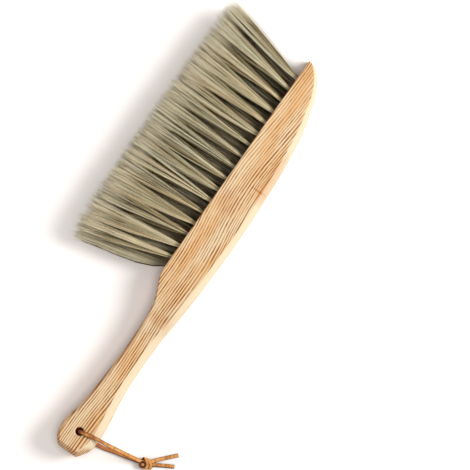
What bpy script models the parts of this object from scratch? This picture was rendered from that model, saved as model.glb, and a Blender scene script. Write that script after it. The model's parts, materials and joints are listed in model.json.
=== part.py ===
"""Dusting brush: a wooden head and handle in one piece, three rows of bristle tufts, and a
leather lace to hang it by.

Metres, +Z up. The brush lies on its side. X runs from the butt of the handle to the tip of
the head, Y from the wood towards the bristle tips, and Z through the brush's thickness. The
shapes are measured from the neck corner, where the root plane meets the neck, and the whole
is then moved so that the origin is under the middle of the wood and bristles.
"""

import math
import random

import bmesh
import bpy
from mathutils import Matrix, Vector

# Head of the wooden body
HEAD_LENGTH = 0.1840
HEAD_DEPTH = 0.0328
HEAD_THICKNESS = 0.0300
ROOT_EDGE_RADIUS = 0.0006
BACK_EDGE_RADIUS = 0.0045
TIP_EDGE_RADIUS = 0.0022

# Handle of the wooden body: neck corner to waist, waist to swell, swell to end face
NECK_LENGTH = 0.0610
GRIP_LENGTH = 0.0700
BUTT_LENGTH = 0.0160
HANDLE_THICKNESS = 0.0240
GRIP_FRONT_RADIUS = 0.0024
GRIP_BACK_RADIUS = 0.0055
BUTT_EDGE_RADIUS = 0.0040

# A drop is how far the handle's front edge lies below the root plane, a depth is its width
WAIST_DROP = 0.0105
WAIST_DEPTH = 0.0179
SWELL_DROP = 0.0040
SWELL_DEPTH = 0.0296
BUTT_DROP = 0.0115
BUTT_DEPTH = 0.0150

# Hole for the lace, measured from the butt's end face and from the root plane
HANGING_HOLE_DIAMETER = 0.0060
HANGING_HOLE_INSET = 0.0170
HANGING_HOLE_DROP = 0.0180
HANGING_HOLE_CHAMFER = 0.0006

# Tufts: each row runs from the neck corner to the tip of the head, less an inset at each end,
# and the rows lie across the thickness
TUFTS_PER_ROW = 17
FIRST_TUFT_INSET = 0.0115
LAST_TUFT_INSET = 0.0150
ROW_PITCH = 0.0085
TIP_ROW_PITCH = 0.0100
TUFT_DIAMETER = 0.0044
ROOT_DEPTH = 0.0120
ROOT_PROUD = 0.0009
FREE_LENGTH = 0.0700
BUTT_END_FAN = 0.0180
TIP_END_FAN = 0.0145

# Strands of a tuft
STRANDS_PER_TUFT = 8
STRAND_GAP = 0.0004
TIP_UNEVENNESS = 0.0012
TIP_SCATTER = 0.0002
SCATTER_SEED = 7

# Staple that holds a tuft's fold at the bottom of its hole
STAPLE_HEIGHT = 0.0016
STAPLE_REACH = 0.0007

# Leather lace. Its free stretches are round here, as thick as the leather
LACE_THICKNESS = 0.0018
KNOT_LENGTH = 0.0090
KNOT_WIDTH = 0.0084
KNOT_HEIGHT = 0.0060

# Clearances and overruns
FIT_GAP = 0.0003
CUT_OVERRUN = 0.0030
MERGE_DISTANCE = 0.00001

# Counts of steps
CORNER_STEPS = 4
HEAD_STEPS = 15
NECK_STEPS = 11
GRIP_STEPS = 7
BUTT_STEPS = 7
HOLE_SIDES = 24
KNOT_SIDES = 20
KNOT_TURN_STEPS = 6
ROUTE_STEPS = 2

# Edges of the wood seen from above, as shares of a zone's length and of its change of place
NECK_FRONT_SHARES = (
    (0.00, 0.00), (0.10, 0.14), (0.18, 0.35), (0.28, 0.60), (0.36, 0.76),
    (0.46, 0.86), (0.64, 0.95), (0.82, 0.99), (1.00, 1.00),
)
GRIP_FRONT_SHARES = (
    (0.21, 0.08), (0.36, 0.15), (0.50, 0.26), (0.64, 0.39), (0.79, 0.60), (0.93, 0.91), (1.00, 1.00),
)
BUTT_FRONT_SHARES = ((0.31, 0.05), (0.62, 0.27), (0.84, 0.60), (0.94, 0.80), (1.00, 1.00))
NECK_BACK_SHARES = ((0.18, 0.19), (0.36, 0.39), (0.54, 0.62), (0.72, 0.88), (1.00, 1.00))
GRIP_BACK_SHARES = (
    (0.24, 0.04), (0.40, 0.15), (0.56, 0.40), (0.71, 0.69), (0.87, 0.94), (1.00, 1.00),
)
BUTT_BACK_SHARES = ((0.31, 0.09), (0.66, 0.46), (0.88, 0.79), (1.00, 1.00))

# Back of the head, as shares of the head's length and of its depth
HEAD_BACK_SHARES = (
    (0.000, 0.971), (0.130, 0.991), (0.240, 1.000), (0.350, 0.991), (0.457, 0.966),
    (0.565, 0.930), (0.674, 0.869), (0.783, 0.762), (0.837, 0.671), (0.891, 0.579),
    (0.946, 0.427), (0.973, 0.305), (0.989, 0.213), (1.000, 0.091),
)

# Shares of other sizes
EDGE_LIMIT_SHARE = 0.30
FULL_EDGE_SHARE = 0.60
ROW_OFFSET_SHARES = (0.0, -0.5, 0.0)
STILL_TUFT_SHARE = 0.53
SIDE_SPLAY_SHARE = 0.50
CORNER_SPLAY_SHARE = 0.84
STRAND_TIP_SHARE = 0.60
KNOT_TURN_SHARE = 0.29
FACING_SHARE = 0.9
ROW_NAMES = ("upper", "middle", "lower")

# Routes of the lace, chosen by hand: X and Y from the hanging hole's axis, Z from the surface
UPPER_LEG_ROUTE = (
    (0.0000, 0.0000, 0.01520), (0.0000, 0.0000, 0.02000), (0.0000, 0.0000, 0.02430),
    (0.0002, -0.0008, 0.02690), (0.0006, -0.0027, 0.02815), (0.0011, -0.0055, 0.02830),
    (0.0018, -0.0090, 0.02830), (0.0025, -0.0130, 0.02830), (0.0031, -0.0170, 0.02820),
    (0.0036, -0.0212, 0.02750), (0.0040, -0.0255, 0.02560), (0.0044, -0.0300, 0.02250),
    (0.0050, -0.0345, 0.01870), (0.0057, -0.0390, 0.01430), (0.0065, -0.0432, 0.00980),
    (0.0073, -0.0470, 0.00600),
)
LOWER_LEG_ROUTE = (
    (0.0000, 0.0000, 0.01480), (0.0000, 0.0000, 0.01000), (0.0000, 0.0000, 0.00540),
    (-0.0001, -0.0008, 0.00280), (-0.0003, -0.0027, 0.00140), (-0.0005, -0.0055, 0.00110),
    (-0.0008, -0.0095, 0.00110), (-0.0008, -0.0140, 0.00110), (-0.0005, -0.0190, 0.00110),
    (0.0003, -0.0245, 0.00110), (0.0015, -0.0300, 0.00110), (0.0027, -0.0355, 0.00110),
    (0.0040, -0.0410, 0.00110), (0.0051, -0.0452, 0.00130), (0.0059, -0.0483, 0.00170),
)
LONG_TAIL_ROUTE = (
    (0.0123, -0.0561, 0.0029), (0.0150, -0.0583, 0.0021), (0.0181, -0.0611, 0.0012),
    (0.0211, -0.0640, 0.0011), (0.0240, -0.0667, 0.0011), (0.0268, -0.0692, 0.0011),
)
SHORT_TAIL_ROUTE = (
    (0.0104, -0.0575, 0.0021), (0.0122, -0.0604, 0.0013), (0.0140, -0.0635, 0.0011),
    (0.0157, -0.0665, 0.0011), (0.0172, -0.0693, 0.0011), (0.0187, -0.0720, 0.0011),
)
KNOT_PLACE = (0.0085, -0.0528)
KNOT_HEADING = (0.3600, -0.9330, 0.0)

# Finishes: colour, roughness
WOOD_FINISH = ((0.730, 0.470, 0.235, 1.0), 0.55)
BRISTLE_FINISH = ((0.420, 0.390, 0.250, 1.0), 0.65)
LEATHER_FINISH = ((0.560, 0.230, 0.060, 1.0), 0.60)


# Scene

def clear_scene():
    """Removes every object that the file opened with."""
    for obj in list(bpy.data.objects):
        bpy.data.objects.remove(obj, do_unlink=True)


def make_collection(name):
    """A new collection in the scene."""
    collection = bpy.data.collections.new(name)
    bpy.context.scene.collection.children.link(collection)
    return collection


def make_material(name, finish):
    """A Principled material with one colour and roughness."""
    colour, roughness = finish
    material = bpy.data.materials.new(name)
    material.use_nodes = True
    shader = material.node_tree.nodes["Principled BSDF"]
    shader.inputs["Base Color"].default_value = colour
    shader.inputs["Roughness"].default_value = roughness
    shader.inputs["Metallic"].default_value = 0.0
    material.diffuse_color = colour
    return material


def make_empty(name, place, parent, collection):
    """An empty that carries other objects."""
    empty = bpy.data.objects.new(name, None)
    empty.location = place
    empty.parent = parent
    collection.objects.link(empty)
    return empty


def add_object(name, data, finish, parent, collection):
    """An object of the brush, with its own material, under the empty that carries it."""
    obj = bpy.data.objects.new(name, data)
    obj.parent = parent
    collection.objects.link(obj)
    if finish is not None:
        data.materials.append(make_material(name, finish))
    return obj


def mesh_from(bm, name):
    """The bmesh as mesh data, its faces outward."""
    bmesh.ops.recalc_face_normals(bm, faces=bm.faces)
    mesh = bpy.data.meshes.new(name)
    bm.to_mesh(mesh)
    bm.free()
    return mesh


def add_turned(name, profile, sides, finish, parent, collection):
    """A shape turned about its own Z axis from (radius, height) points, top to bottom."""
    mesh = bpy.data.meshes.new(name)
    corners = [(radius, 0.0, height) for radius, height in profile]
    edges = [(index, index + 1) for index in range(len(corners) - 1)]
    mesh.from_pydata(corners, edges, [])
    obj = add_object(name, mesh, finish, parent, collection)
    screw = obj.modifiers.new("turn", 'SCREW')
    screw.axis = 'Z'
    screw.angle = math.tau
    screw.steps = sides
    screw.render_steps = sides
    screw.use_merge_vertices = True
    screw.merge_threshold = MERGE_DISTANCE
    return obj


def hide_as_cutter(obj):
    """Marks an object as a tool that only cuts."""
    obj.hide_render = True
    obj.display_type = 'WIRE'


def cut(obj, cutter):
    """Cuts the cutter's shape out of the object."""
    boolean = obj.modifiers.new("cut " + cutter.name, 'BOOLEAN')
    boolean.operation = 'DIFFERENCE'
    boolean.solver = 'EXACT'
    boolean.object = cutter


# Smooth curves

def end_slopes(points):
    """Slope of a curve without overshoot at each of its points, which are sorted by X."""
    steps = [
        (after[1] - before[1]) / (after[0] - before[0])
        for before, after in zip(points, points[1:])
    ]
    slopes = [steps[0]]
    for before, after in zip(steps, steps[1:]):
        same_way = before * after > 0.0
        slopes.append(2.0 * before * after / (before + after) if same_way else 0.0)
    slopes.append(steps[-1])
    return slopes


def smooth_value(points, x):
    """Height at x of the smooth curve through the points."""
    slopes = end_slopes(points)
    last = len(points) - 2
    index = next((k for k in range(last) if x <= points[k + 1][0]), last)
    (x0, y0), (x1, y1) = points[index], points[index + 1]
    span = x1 - x0
    t = min(max((x - x0) / span, 0.0), 1.0)
    rise = t * t * (3.0 - 2.0 * t)
    leave = t * (1.0 - t) ** 2 * slopes[index] * span
    arrive = t * t * (t - 1.0) * slopes[index + 1] * span
    return y0 + (y1 - y0) * rise + leave + arrive


def smooth_route(route, steps):
    """Points of a smooth curve through a route in space, with so many steps in each span."""
    places = [Vector(place) for place in route]
    places = [2.0 * places[0] - places[1]] + places + [2.0 * places[-1] - places[-2]]
    smooth = []
    for p0, p1, p2, p3 in zip(places, places[1:], places[2:], places[3:]):
        for step in range(steps):
            t = step / steps
            smooth.append(0.5 * (
                2.0 * p1 + (p2 - p0) * t
                + (2.0 * p0 - 5.0 * p1 + 4.0 * p2 - p3) * t ** 2
                + (3.0 * p1 - p0 - 3.0 * p2 + p3) * t ** 3
            ))
    smooth.append(places[-2])
    return smooth


# Wooden body

def butt_end():
    """X of the butt's end face."""
    return -(NECK_LENGTH + GRIP_LENGTH + BUTT_LENGTH)


def zone_points(shares, start, end, low, high):
    """Points of one zone of an edge, from its shares."""
    return [
        (start + along * (end - start), low + across * (high - low))
        for along, across in shares
    ]


def front_edge():
    """Front edge of the wood seen from above, butt to tip."""
    waist, swell = -NECK_LENGTH, -(NECK_LENGTH + GRIP_LENGTH)
    points = zone_points(NECK_FRONT_SHARES, 0.0, waist, 0.0, -WAIST_DROP)
    points += zone_points(GRIP_FRONT_SHARES, waist, swell, -WAIST_DROP, -SWELL_DROP)
    points += zone_points(BUTT_FRONT_SHARES, swell, butt_end(), -SWELL_DROP, -BUTT_DROP)
    return points[::-1] + [(HEAD_LENGTH, 0.0)]


def back_edge():
    """Back edge of the wood seen from above, butt to tip."""
    waist, swell = -NECK_LENGTH, -(NECK_LENGTH + GRIP_LENGTH)
    waist_back = -(WAIST_DROP + WAIST_DEPTH)
    swell_back = -(SWELL_DROP + SWELL_DEPTH)
    butt_back = -(BUTT_DROP + BUTT_DEPTH)
    head = zone_points(HEAD_BACK_SHARES, 0.0, HEAD_LENGTH, 0.0, -HEAD_DEPTH)
    points = zone_points(NECK_BACK_SHARES, 0.0, waist, head[0][1], waist_back)
    points += zone_points(GRIP_BACK_SHARES, waist, swell, waist_back, swell_back)
    points += zone_points(BUTT_BACK_SHARES, swell, butt_end(), swell_back, butt_back)
    return points[::-1] + head


def from_waist_to_head(waist_value, head_value):
    """A size of the section that changes along the neck, as a smooth curve's points."""
    return [
        (butt_end(), waist_value), (-NECK_LENGTH, waist_value),
        (0.0, head_value), (HEAD_LENGTH, head_value),
    ]


def back_rounding():
    """Radius of the back edges, which runs out towards the tip, as a smooth curve's points."""
    points = from_waist_to_head(GRIP_BACK_RADIUS, BACK_EDGE_RADIUS)
    points[-1:] = [(FULL_EDGE_SHARE * HEAD_LENGTH, BACK_EDGE_RADIUS), (HEAD_LENGTH, TIP_EDGE_RADIUS)]
    return points


def butt_inset(x):
    """How far the rounding of the butt's end face draws the section in."""
    to_end = x - butt_end()
    if to_end >= BUTT_EDGE_RADIUS:
        return 0.0
    share = 1.0 - to_end / BUTT_EDGE_RADIUS
    return BUTT_EDGE_RADIUS * (1.0 - math.sqrt(1.0 - share * share))


def body_section(x):
    """Ring of points of the wood's rounded section at x, turning from front to top to back."""
    front = smooth_value(front_edge(), x)
    back = smooth_value(back_edge(), x)
    inset = butt_inset(x)
    half = smooth_value(from_waist_to_head(HANDLE_THICKNESS, HEAD_THICKNESS), x) / 2.0 - inset
    limit = EDGE_LIMIT_SHARE * min(front - back, 2.0 * half)
    front_radius = smooth_value(from_waist_to_head(GRIP_FRONT_RADIUS, ROOT_EDGE_RADIUS), x)
    back_radius = smooth_value(back_rounding(), x)
    ring = []
    for quarter in range(4):
        at_front, at_top = quarter in (0, 3), quarter in (0, 1)
        radius = min(front_radius if at_front else back_radius, limit)
        y = front - radius if at_front else back + radius
        z = half - radius if at_top else radius - half
        for step in range(CORNER_STEPS + 1):
            angle = (quarter + step / CORNER_STEPS) * math.pi / 2.0
            ring.append((x, y + radius * math.cos(angle), z + radius * math.sin(angle)))
    return ring


def body_stations():
    """X of each section of the wood, closer together at the two ends."""
    swell = -(NECK_LENGTH + GRIP_LENGTH)
    stations = [
        butt_end() + BUTT_LENGTH * (1.0 - math.cos(step / BUTT_STEPS * math.pi / 2.0))
        for step in range(BUTT_STEPS)
    ]
    stations += [swell + GRIP_LENGTH * step / GRIP_STEPS for step in range(GRIP_STEPS)]
    stations += [-NECK_LENGTH + NECK_LENGTH * step / NECK_STEPS for step in range(NECK_STEPS)]
    stations += [
        HEAD_LENGTH * math.sin(step / HEAD_STEPS * math.pi / 2.0)
        for step in range(HEAD_STEPS + 1)
    ]
    return stations


def make_wooden_body(parent, collection):
    """Head and handle in one piece, lofted through its sections, before it is drilled."""
    bm = bmesh.new()
    rings = [[bm.verts.new(point) for point in body_section(x)] for x in body_stations()]
    count = len(rings[0])
    for ring, following in zip(rings, rings[1:]):
        for k in range(count):
            after = (k + 1) % count
            bm.faces.new((ring[k], ring[after], following[after], following[k]))
    bm.faces.new(rings[0][::-1])
    bm.faces.new(rings[-1])
    body = add_object("wooden_body", mesh_from(bm, "wooden_body"), WOOD_FINISH, parent, collection)
    body.location.z = HEAD_THICKNESS / 2.0
    return body


def hanging_hole_place():
    """Where the hanging hole's axis crosses the middle of the thickness."""
    return Vector((butt_end() + HANGING_HOLE_INSET, -HANGING_HOLE_DROP, HEAD_THICKNESS / 2.0))


def make_hanging_hole_cutter(parent, collection):
    """Drill for the hanging hole, with a chamfer at both faces of the handle."""
    radius = HANGING_HOLE_DIAMETER / 2.0
    half = HANDLE_THICKNESS / 2.0
    flare = radius + HANGING_HOLE_CHAMFER + CUT_OVERRUN
    profile = (
        (0.0, half + CUT_OVERRUN), (flare, half + CUT_OVERRUN),
        (radius, half - HANGING_HOLE_CHAMFER), (radius, HANGING_HOLE_CHAMFER - half),
        (flare, -half - CUT_OVERRUN), (0.0, -half - CUT_OVERRUN),
    )
    cutter = add_turned("hanging_hole_cutter", profile, HOLE_SIDES, None, parent, collection)
    cutter.location = hanging_hole_place()
    hide_as_cutter(cutter)
    return cutter


# Tufts

def tuft_pitch():
    """From one tuft's axis to the next along a row, at the root plane."""
    return (HEAD_LENGTH - FIRST_TUFT_INSET - LAST_TUFT_INSET) / (TUFTS_PER_ROW - 1)


def fan_shift(place_in_row):
    """How far a tuft's tip leans along X, from its place in the row, counted in tufts."""
    still = STILL_TUFT_SHARE * (TUFTS_PER_ROW - 1)
    if place_in_row < still:
        return -BUTT_END_FAN * (1.0 - place_in_row / still) ** 2
    return TIP_END_FAN * ((place_in_row - still) / (TUFTS_PER_ROW - 1 - still)) ** 3


def tuft_frame(row, number):
    """Place and turn of a tuft: its own Z runs up the bristles and its own X along the row."""
    side = 1 - row
    place = number + ROW_OFFSET_SHARES[row]
    root_x = FIRST_TUFT_INSET + place * tuft_pitch()
    root = Vector((root_x, 0.0, HEAD_THICKNESS / 2.0 + side * ROW_PITCH))
    lean = Vector((fan_shift(place), FREE_LENGTH, side * (TIP_ROW_PITCH - ROW_PITCH)))
    up = lean.normalized()
    along = Vector((1.0, 0.0, 0.0))
    along = (along - along.dot(up) * up).normalized()
    across = up.cross(along)
    turn = Matrix((along, across, up)).transposed()
    return Matrix.Translation(root) @ turn.to_4x4()


def tuft_splay(row, number):
    """Half the room that a tuft has at its tip, along its row and across the rows."""
    before = max(number - 0.5, 0.0) + ROW_OFFSET_SHARES[row]
    after = min(number + 0.5, TUFTS_PER_ROW - 1.0) + ROW_OFFSET_SHARES[row]
    tip_pitch = tuft_pitch() + fan_shift(after) - fan_shift(before)
    return tip_pitch / 2.0, TIP_ROW_PITCH / 2.0


def add_root(bm, gap, top):
    """Folded root of a tuft with the ends of its staple, or with a gap the hole for them."""
    radius = TUFT_DIAMETER / 2.0 + gap
    bottom = -ROOT_DEPTH - gap
    turn = Matrix.Rotation(math.pi / STRANDS_PER_TUFT, 4, 'Z')
    made = bmesh.ops.create_cone(
        bm, cap_ends=True, cap_tris=True, segments=STRANDS_PER_TUFT,
        radius1=radius, radius2=radius, depth=top - bottom,
        matrix=Matrix.Translation((0.0, 0.0, (top + bottom) / 2.0)) @ turn,
    )
    verts = made["verts"]
    faces = list({face for vert in verts for face in vert.link_faces})
    edges = list({edge for vert in verts for edge in vert.link_edges})
    staple_top = Vector((0.0, 0.0, STAPLE_HEIGHT - ROOT_DEPTH + gap))
    split = bmesh.ops.bisect_plane(
        bm, geom=verts + edges + faces, plane_co=staple_top, plane_no=Vector((0.0, 0.0, 1.0)),
    )
    sides = [
        face for face in split["geom"]
        if isinstance(face, bmesh.types.BMFace)
        and face.calc_center_median().z < staple_top.z and abs(face.normal.x) > FACING_SHARE
    ]
    pushed = bmesh.ops.extrude_discrete_faces(bm, faces=sides)["faces"]
    for face in pushed:
        reach = math.copysign(STAPLE_REACH, face.calc_center_median().x)
        bmesh.ops.translate(bm, verts=face.verts, vec=(reach, 0.0, 0.0))


def strand_tip(angle, number_in_tuft, splay, rng):
    """Middle of a strand's tip, in the tuft's own frame."""
    at_corner = number_in_tuft % 2 == 1
    share = CORNER_SPLAY_SHARE * math.sqrt(2.0) if at_corner else SIDE_SPLAY_SHARE
    scatter = rng.uniform(-TIP_SCATTER, TIP_SCATTER), rng.uniform(-TIP_SCATTER, TIP_SCATTER)
    return Vector((
        splay[0] * share * math.cos(angle) + scatter[0],
        splay[1] * share * math.sin(angle) + scatter[1],
        FREE_LENGTH + rng.uniform(-TIP_UNEVENNESS, TIP_UNEVENNESS),
    ))


def tuft_mesh(name, splay, rng):
    """One tuft: its root and staple, and the strands that grow out of the root's top."""
    bm = bmesh.new()
    add_root(bm, 0.0, ROOT_PROUD)
    bm.normal_update()
    top = [
        face for face in bm.faces
        if face.normal.z > FACING_SHARE and face.calc_center_median().z > 0.0
    ]
    turn = math.tau / STRANDS_PER_TUFT
    by_angle = {}
    for face in top:
        middle = face.calc_center_median()
        by_angle[round(math.atan2(middle.y, middle.x) / turn) % STRANDS_PER_TUFT] = face
    bmesh.ops.inset_individual(bm, faces=top, thickness=STRAND_GAP / 2.0, use_even_offset=True)
    order = sorted(by_angle)
    grown = bmesh.ops.extrude_discrete_faces(bm, faces=[by_angle[k] for k in order])["faces"]
    for face in grown:
        middle = face.calc_center_median()
        number = round(math.atan2(middle.y, middle.x) / turn) % STRANDS_PER_TUFT
        tip = strand_tip(number * turn, number, splay, rng)
        for vert in face.verts:
            vert.co = tip + (vert.co - middle) * STRAND_TIP_SHARE
    return mesh_from(bm, name)


def tuft_places():
    """Row and number of every tuft, row by row."""
    return [(row, number) for row in range(len(ROW_NAMES)) for number in range(TUFTS_PER_ROW)]


def make_tufts(parent, collection):
    """Every tuft, each its own object on its own hole's axis."""
    rng = random.Random(SCATTER_SEED)
    tufts = []
    for row, number in tuft_places():
        name = f"tuft_{ROW_NAMES[row]}_{number + 1:02d}"
        mesh = tuft_mesh(name, tuft_splay(row, number), rng)
        tuft = add_object(name, mesh, BRISTLE_FINISH, parent, collection)
        frame = tuft_frame(row, number)
        tuft.location = frame.to_translation()
        tuft.rotation_euler = frame.to_euler()
        tufts.append(tuft)
    return tufts


def make_tuft_hole_cutter(parent, collection):
    """Drill for all the tuft holes, each a root with a gap round it."""
    bm = bmesh.new()
    for row, number in tuft_places():
        one = bmesh.new()
        add_root(one, FIT_GAP, CUT_OVERRUN)
        one.transform(tuft_frame(row, number))
        placed = mesh_from(one, "tuft_hole")
        bm.from_mesh(placed)
        bpy.data.meshes.remove(placed)
    mesh = mesh_from(bm, "tuft_hole_cutter")
    cutter = add_object("tuft_hole_cutter", mesh, None, parent, collection)
    hide_as_cutter(cutter)
    return cutter


# Lace

def make_cord(name, route, parent, collection):
    """A free stretch of the lace: a tube along a smooth curve through the route."""
    points = smooth_route(route, ROUTE_STEPS)
    curve = bpy.data.curves.new(name, 'CURVE')
    curve.dimensions = '3D'
    curve.bevel_depth = LACE_THICKNESS / 2.0
    curve.bevel_resolution = 2
    curve.use_fill_caps = True
    spline = curve.splines.new('POLY')
    spline.points.add(len(points) - 1)
    for point, place in zip(spline.points, points):
        point.co = (*place, 1.0)
    return add_object(name, curve, LEATHER_FINISH, parent, collection)


def knot_profile():
    """Half section of the knot: two turns of lace side by side, top to bottom."""
    half_turn = KNOT_LENGTH * KNOT_TURN_SHARE
    middle = KNOT_LENGTH / 2.0 - half_turn
    end_angle = math.pi - math.acos(middle / half_turn)
    upper = []
    for step in range(KNOT_TURN_STEPS + 1):
        angle = end_angle * step / KNOT_TURN_STEPS
        radius = KNOT_WIDTH / 2.0 * math.sin(angle)
        upper.append((radius, middle + half_turn * math.cos(angle)))
    lower = [(radius, -height) for radius, height in upper[-2::-1]]
    return upper + lower


def make_knot(parent, collection):
    """The knot: a bead of two turns, flattened where it lies on the surface."""
    knot = add_turned("lace_knot", knot_profile(), KNOT_SIDES, LEATHER_FINISH, parent, collection)
    heading = Vector(KNOT_HEADING).normalized()
    knot.rotation_euler = heading.to_track_quat('Z', 'X').to_euler()
    knot.scale = (KNOT_HEIGHT / KNOT_WIDTH, 1.0, 1.0)
    knot.location = (*KNOT_PLACE, KNOT_HEIGHT / 2.0 + FIT_GAP)
    return knot


def make_lace(parent, collection):
    """The lace on its pivot: two legs out of the hole, the knot, and the two tails."""
    make_cord("lace_upper_leg", UPPER_LEG_ROUTE, parent, collection)
    make_cord("lace_lower_leg", LOWER_LEG_ROUTE, parent, collection)
    make_knot(parent, collection)
    make_cord("lace_long_tail", LONG_TAIL_ROUTE, parent, collection)
    make_cord("lace_short_tail", SHORT_TAIL_ROUTE, parent, collection)


# Assembly

def middle_of(objects):
    """Middle of the box round some objects, in X and Y, with their modifiers applied."""
    bpy.context.view_layer.update()
    graph = bpy.context.evaluated_depsgraph_get()
    places = []
    for obj in objects:
        shown = obj.evaluated_get(graph)
        mesh = shown.to_mesh()
        places += [shown.matrix_world @ vert.co for vert in mesh.vertices]
        shown.to_mesh_clear()
    return [
        (min(place[axis] for place in places) + max(place[axis] for place in places)) / 2.0
        for axis in (0, 1)
    ]


def main():
    """Builds the brush."""
    clear_scene()
    parts = make_collection("Dusting brush")
    cutters = make_collection("Cutters")
    brush = make_empty("brush_middle", (0.0, 0.0, 0.0), None, parts)
    pivot = make_empty("lace_pivot", (*hanging_hole_place().xy, 0.0), brush, parts)

    body = make_wooden_body(brush, parts)
    cut(body, make_tuft_hole_cutter(brush, cutters))
    cut(body, make_hanging_hole_cutter(brush, cutters))
    tufts = make_tufts(brush, parts)
    make_lace(pivot, parts)

    middle_x, middle_y = middle_of([body] + tufts)
    brush.location = (-middle_x, -middle_y, 0.0)


main()
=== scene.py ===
"""Looks of the dusting brush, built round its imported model.

A wooden head and handle in one piece of ash, three rows of bristle tufts, and a flat leather
lace to hang it by, lying on a pale floor. Metres, +Z up. X runs along the wood, Y from the
wood towards the bristle tips, and Z through the brush's thickness.
"""

from __future__ import annotations

import json
import logging
import math
import random
from collections.abc import Mapping, Sequence
from dataclasses import dataclass
from enum import Enum
from typing import Any, Union

import bmesh
import bpy
from mathutils import Matrix, Vector

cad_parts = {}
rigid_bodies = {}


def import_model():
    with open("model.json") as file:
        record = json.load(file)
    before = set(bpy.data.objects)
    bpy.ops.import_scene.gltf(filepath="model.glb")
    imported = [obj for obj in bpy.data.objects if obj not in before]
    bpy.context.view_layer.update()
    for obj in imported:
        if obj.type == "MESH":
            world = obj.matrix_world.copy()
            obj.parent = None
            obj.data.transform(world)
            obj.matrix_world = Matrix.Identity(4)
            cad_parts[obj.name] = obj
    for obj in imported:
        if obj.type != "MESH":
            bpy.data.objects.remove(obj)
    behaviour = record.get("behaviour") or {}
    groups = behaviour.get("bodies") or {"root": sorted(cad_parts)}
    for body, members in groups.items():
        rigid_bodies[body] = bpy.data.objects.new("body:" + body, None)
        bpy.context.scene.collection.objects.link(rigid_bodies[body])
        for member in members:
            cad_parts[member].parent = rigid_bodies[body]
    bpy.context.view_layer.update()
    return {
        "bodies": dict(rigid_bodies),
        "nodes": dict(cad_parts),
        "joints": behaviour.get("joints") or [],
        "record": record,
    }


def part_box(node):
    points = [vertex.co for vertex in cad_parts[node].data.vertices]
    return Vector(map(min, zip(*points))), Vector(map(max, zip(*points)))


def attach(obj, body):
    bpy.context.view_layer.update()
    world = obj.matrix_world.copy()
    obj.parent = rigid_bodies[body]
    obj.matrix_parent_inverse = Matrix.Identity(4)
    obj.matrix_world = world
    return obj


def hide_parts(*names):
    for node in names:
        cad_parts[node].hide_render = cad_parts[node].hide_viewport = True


LOG = logging.getLogger("dusting_brush")
BAKE_MAP = "OFBake"
MAP_MARGIN = 0.02
MAP_SPAN = 1.0 - 2.0 * MAP_MARGIN
NOISE_MIDDLE = 0.5
MILLIMETRES_PER_METRE = 1000.0
UPWARD = Vector((0.0, 0.0, 1.0))
SCREEN_WHITE = 255.0
SCREEN_FOOT = 0.04045
SCREEN_FOOT_SLOPE = 12.92
SCREEN_OFFSET = 0.055
SCREEN_POWER = 2.4

Colour = tuple[float, float, float, float]
Pair = tuple[float, float]
Triple = tuple[float, float, float]
Route = tuple[Triple, ...]

WHITE: Colour = (1.0, 1.0, 1.0, 1.0)


class Body(Enum):
    """The bodies that pieces ride on."""

    BRUSH = "brush"
    LACE = "lace"


class Slot(Enum):
    """Names of material slots for the wood, the bristles and the leather; no piece here is given one."""

    WOOD = "wood"
    BRISTLE = "bristle"
    LEATHER = "leather"


def paint(red: int, green: int, blue: int) -> Colour:
    """Linear colour of a paint.

    Args:
        red, green, blue: Its values on a screen, from 0 to 255.

    Returns:
        The colour with full alpha.
    """
    def linear(value: int) -> float:
        """One value with the screen's curve taken out."""
        share = value / SCREEN_WHITE
        curved = ((share + SCREEN_OFFSET) / (1.0 + SCREEN_OFFSET)) ** SCREEN_POWER
        return share / SCREEN_FOOT_SLOPE if share <= SCREEN_FOOT else curved

    return linear(red), linear(green), linear(blue), 1.0


# Node graphs

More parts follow.
